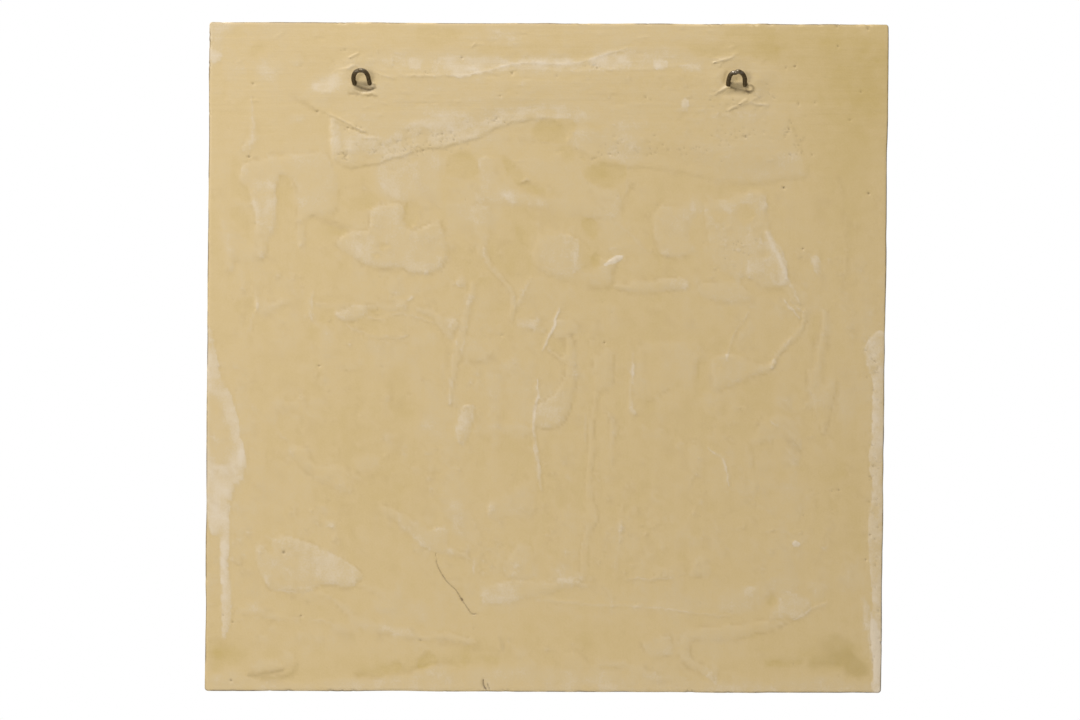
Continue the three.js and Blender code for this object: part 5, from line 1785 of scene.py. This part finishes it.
def material_of(name, grey):
    """A new material, its tree, its shader and its object coordinates."""
    material = bpy.data.materials.new(name)
    material.use_nodes = True
    material.diffuse_color = (*grey, 1.0)
    tree = material.node_tree
    shader = next(n for n in tree.nodes if n.type == "BSDF_PRINCIPLED")
    where = add(tree, "ShaderNodeTexCoord", (-7, 0)).outputs["Object"]
    return material, tree, shader, where


def bumped(tree, shader, height, distance):
    """Fine relief in millimetres through the shader's normal."""
    node = add(tree, "ShaderNodeBump", (-1, 3))
    node.inputs["Distance"].default_value = distance * MM
    tree.links.new(height, node.inputs["Height"])
    tree.links.new(node.outputs[0], shader.inputs["Normal"])


def drawn(tree, name, place):
    """A sheet's number at each point."""
    return add(tree, "ShaderNodeAttribute", place, attribute_name=name).outputs["Fac"]


plaster, tree, shader, where = material_of("Shellacked plaster", TAN)
coating = use(tree, shellac, (-3, 0))
tree.links.new(where, coating.inputs["Vector"])
for row, name in enumerate(("pale", "rim", "soil_and_shade")):
    tree.links.new(drawn(tree, name, (-5, row + 1)), coating.inputs[name.title()])
tree.links.new(coating.outputs["Color"], shader.inputs["Base Color"])
tree.links.new(coating.outputs["Roughness"], shader.inputs["Roughness"])
shader.inputs["Coat Weight"].default_value = 0.18
shader.inputs["Coat Roughness"].default_value = 0.38
shader.inputs["Specular IOR Level"].default_value = 0.4
bumped(tree, shader, coating.outputs["Height"], 0.17)
panel.data.materials.append(plaster)
print("material", plaster.name)

# %% [markdown]
# ## The wire material
#
# Old iron wire is brown and dull, rubbed brighter where a hook bears on its crown, and still crusted with
# plaster where it goes in. The brighter colour on the crown is also a painted highlight.

# %% Iron wire
RUST = (0.070, 0.047, 0.021)
BROWN = (0.165, 0.120, 0.058)
BARE_AND_HIGHLIT = (0.34, 0.30, 0.25)
wire, tree, shader, where = material_of("Old iron wire", BROWN)
spots = use(tree, mottle, (-4, 0), Size_in_mm=1.4)
tree.links.new(where, spots.inputs["Vector"])
patchy = use(tree, mottle, (-4, 2), Size_in_mm=4.0)
tree.links.new(where, patchy.inputs["Vector"])
metal = blend(tree, (-2, 0), spots.outputs[0], RUST, BROWN)
uneven = scaled(tree, (-3, 3), patchy.outputs[0], 0.35, 0.75)
# The rubbed crown is lighter in colour: real wear and a painted highlight.
rubbed_and_highlit = maths(tree, "MULTIPLY", (-2, 2), drawn(tree, "wear_and_highlight", (-4, 4)), uneven)
metal = blend(tree, (-1, 0), maths(tree, "MULTIPLY", (-2, 4), rubbed_and_highlit, 0.6), metal, BARE_AND_HIGHLIT)
grainy = scaled(tree, (-3, 5), spots.outputs[0], 0.2, 0.7)
crusted = maths(tree, "MULTIPLY", (-2, 6), drawn(tree, "crust", (-4, 6)), grainy)
tree.links.new(blend(tree, (0, 0), crusted, metal, DARK), shader.inputs["Base Color"])
tree.links.new(scaled(tree, (-1, 2), rubbed_and_highlit, 0, 1, 0.62, 0.30), shader.inputs["Roughness"])
tree.links.new(scaled(tree, (-1, 4), crusted, 0, 1, 0.75, 0.0), shader.inputs["Metallic"])
bumped(tree, shader, spots.outputs[0], 0.08)
for loop in (left_loop, right_loop):
    loop.data.materials.append(wire)
print("material", wire.name)

# %% [markdown]
# ## Floor
#
# The floor is a plain pale disc. It lies well below the panel, so it stays out of the main view,
# and it is small, so that little light comes up from it.

# %% Floor
FLOOR_Z, FLOOR_RADIUS, FLOOR_SIDES = -900.0, 620.0, 96
turns = np.linspace(0, 2 * math.pi, FLOOR_SIDES + 1)[:-1]
ring = [(FLOOR_RADIUS * math.cos(a), FLOOR_RADIUS * math.sin(a) - 30, FLOOR_Z) for a in turns]
floor = mesh_object("floor", ring, [list(range(FLOOR_SIDES))])
pale_floor, tree, shader, where = material_of("Pale floor", (0.8, 0.8, 0.8))
tint = use(tree, mottle, (-3, 0), Size_in_mm=120.0)
tree.links.new(where, tint.inputs["Vector"])
greys = blend(tree, (-1, 0), tint.outputs[0], (0.66, 0.66, 0.66), (0.70, 0.70, 0.69))
tree.links.new(greys, shader.inputs["Base Color"])
shader.inputs["Roughness"].default_value = 0.8
floor.data.materials.append(pale_floor)
print("floor at", FLOOR_Z, "mm")

# %% [markdown]
# ## Light and background
#
# The photograph has a bare white ground and a soft light from its upper left, which falls off
# a little towards the lower right. So a high key lamp rakes down over the back, and two weak
# ones, in front and at the side, open its shadows. The last lamp lights the carved face.

# %% Light and background
FILL_LIGHT = 0.30
AIM = Vector((0.0, 0.0, -0.24))
world = bpy.data.worlds.new("Studio")
world.use_nodes = True
bpy.context.scene.world = world
tree = world.node_tree
tree.nodes.clear()
path = add(tree, "ShaderNodeLightPath", (-2, 0))
seen, unseen = (add(tree, "ShaderNodeBackground", (0, row)) for row in (0, 1))
seen.inputs[0].default_value = (1, 1, 1, 1)
unseen.inputs[0].default_value = (1, 1, 1, 1)
unseen.inputs[1].default_value = FILL_LIGHT
choose = add(tree, "ShaderNodeMixShader", (1, 0))
tree.links.new(path.outputs["Is Camera Ray"], choose.inputs[0])
tree.links.new(unseen.outputs[0], choose.inputs[1])
tree.links.new(seen.outputs[0], choose.inputs[2])
tree.links.new(choose.outputs[0], add(tree, "ShaderNodeOutputWorld", (2, 0)).inputs[0])


def soft_light(name, place, size, power):
    """A square lamp aimed at the panel."""
    lamp = bpy.data.lights.new(name, "AREA")
    lamp.size, lamp.energy = size, power
    piece = bpy.data.objects.new(name, lamp)
    piece.location = place
    piece.rotation_euler = (AIM - Vector(place)).to_track_quat("-Z", "Y").to_euler()
    piece.visible_camera = False
    bpy.context.scene.collection.objects.link(piece)


soft_light("key", (0.9, 2.25, 3.45), 0.66, 160)
soft_light("front", (0.9, 1.3, 0.05), 0.5, 4.6)
soft_light("side", (2.0, 2.1, 0.3), 1.0, 12)
soft_light("face_key", (1.45, -1.1, 1.2), 0.5, 50)
print("lamps", len(bpy.data.lights))

# %% [markdown]
# ## The camera
#
# The camera looks square at the back, so far off that one pixel of the photograph covers the
# same 0.84 mm here, and it is rolled by the same fifth of a degree.

# %% Camera
LENS, SENSOR = 85.0, 36.0
IMAGE_WIDTH, IMAGE_HEIGHT = 1080, 720
distance = IMAGE_WIDTH * MM_PER_PIXEL * LENS / SENSOR
aim_x, aim_z = panel_of(IMAGE_WIDTH / 2, IMAGE_HEIGHT / 2)
camera = bpy.data.objects.new("camera", bpy.data.cameras.new("camera"))
camera.data.lens, camera.data.sensor_width = LENS, SENSOR
right = Vector((-math.cos(ROLL), 0, math.sin(ROLL)))
up = Vector((math.sin(ROLL), 0, math.cos(ROLL)))
turned = Matrix((right, up, Vector((0, 1, 0)))).transposed().to_4x4()
camera.matrix_world = Matrix.Translation(Vector((aim_x, BACK_Y + distance, aim_z)) * MM) @ turned
bpy.context.scene.collection.objects.link(camera)
bpy.context.scene.camera = camera
bpy.context.scene.view_settings.view_transform = "Standard"
print("camera", round(distance), "mm from the back")

# %% [markdown]
# ## Handing over
#
# Each piece is hung on the frame's root, and the solid that it stands in for is hidden. The box is measured
# again, and both boxes are printed.

# %% Pieces and boxes
for piece, node, finish in ((panel, "plaster_panel", "plaster"), (left_loop, "left_hanging_loop", "wire"),
                            (right_loop, "right_hanging_loop", "wire")):
    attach(piece, "root")
    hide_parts(node)
floor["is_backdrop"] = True
full_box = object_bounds()
boxes = {"cad": [list(corner) for corner in cad_box], "visual": [list(corner) for corner in full_box]}
for name, box in boxes.items():
    print(name, [[round(v / MM, 1) for v in corner] for corner in box])
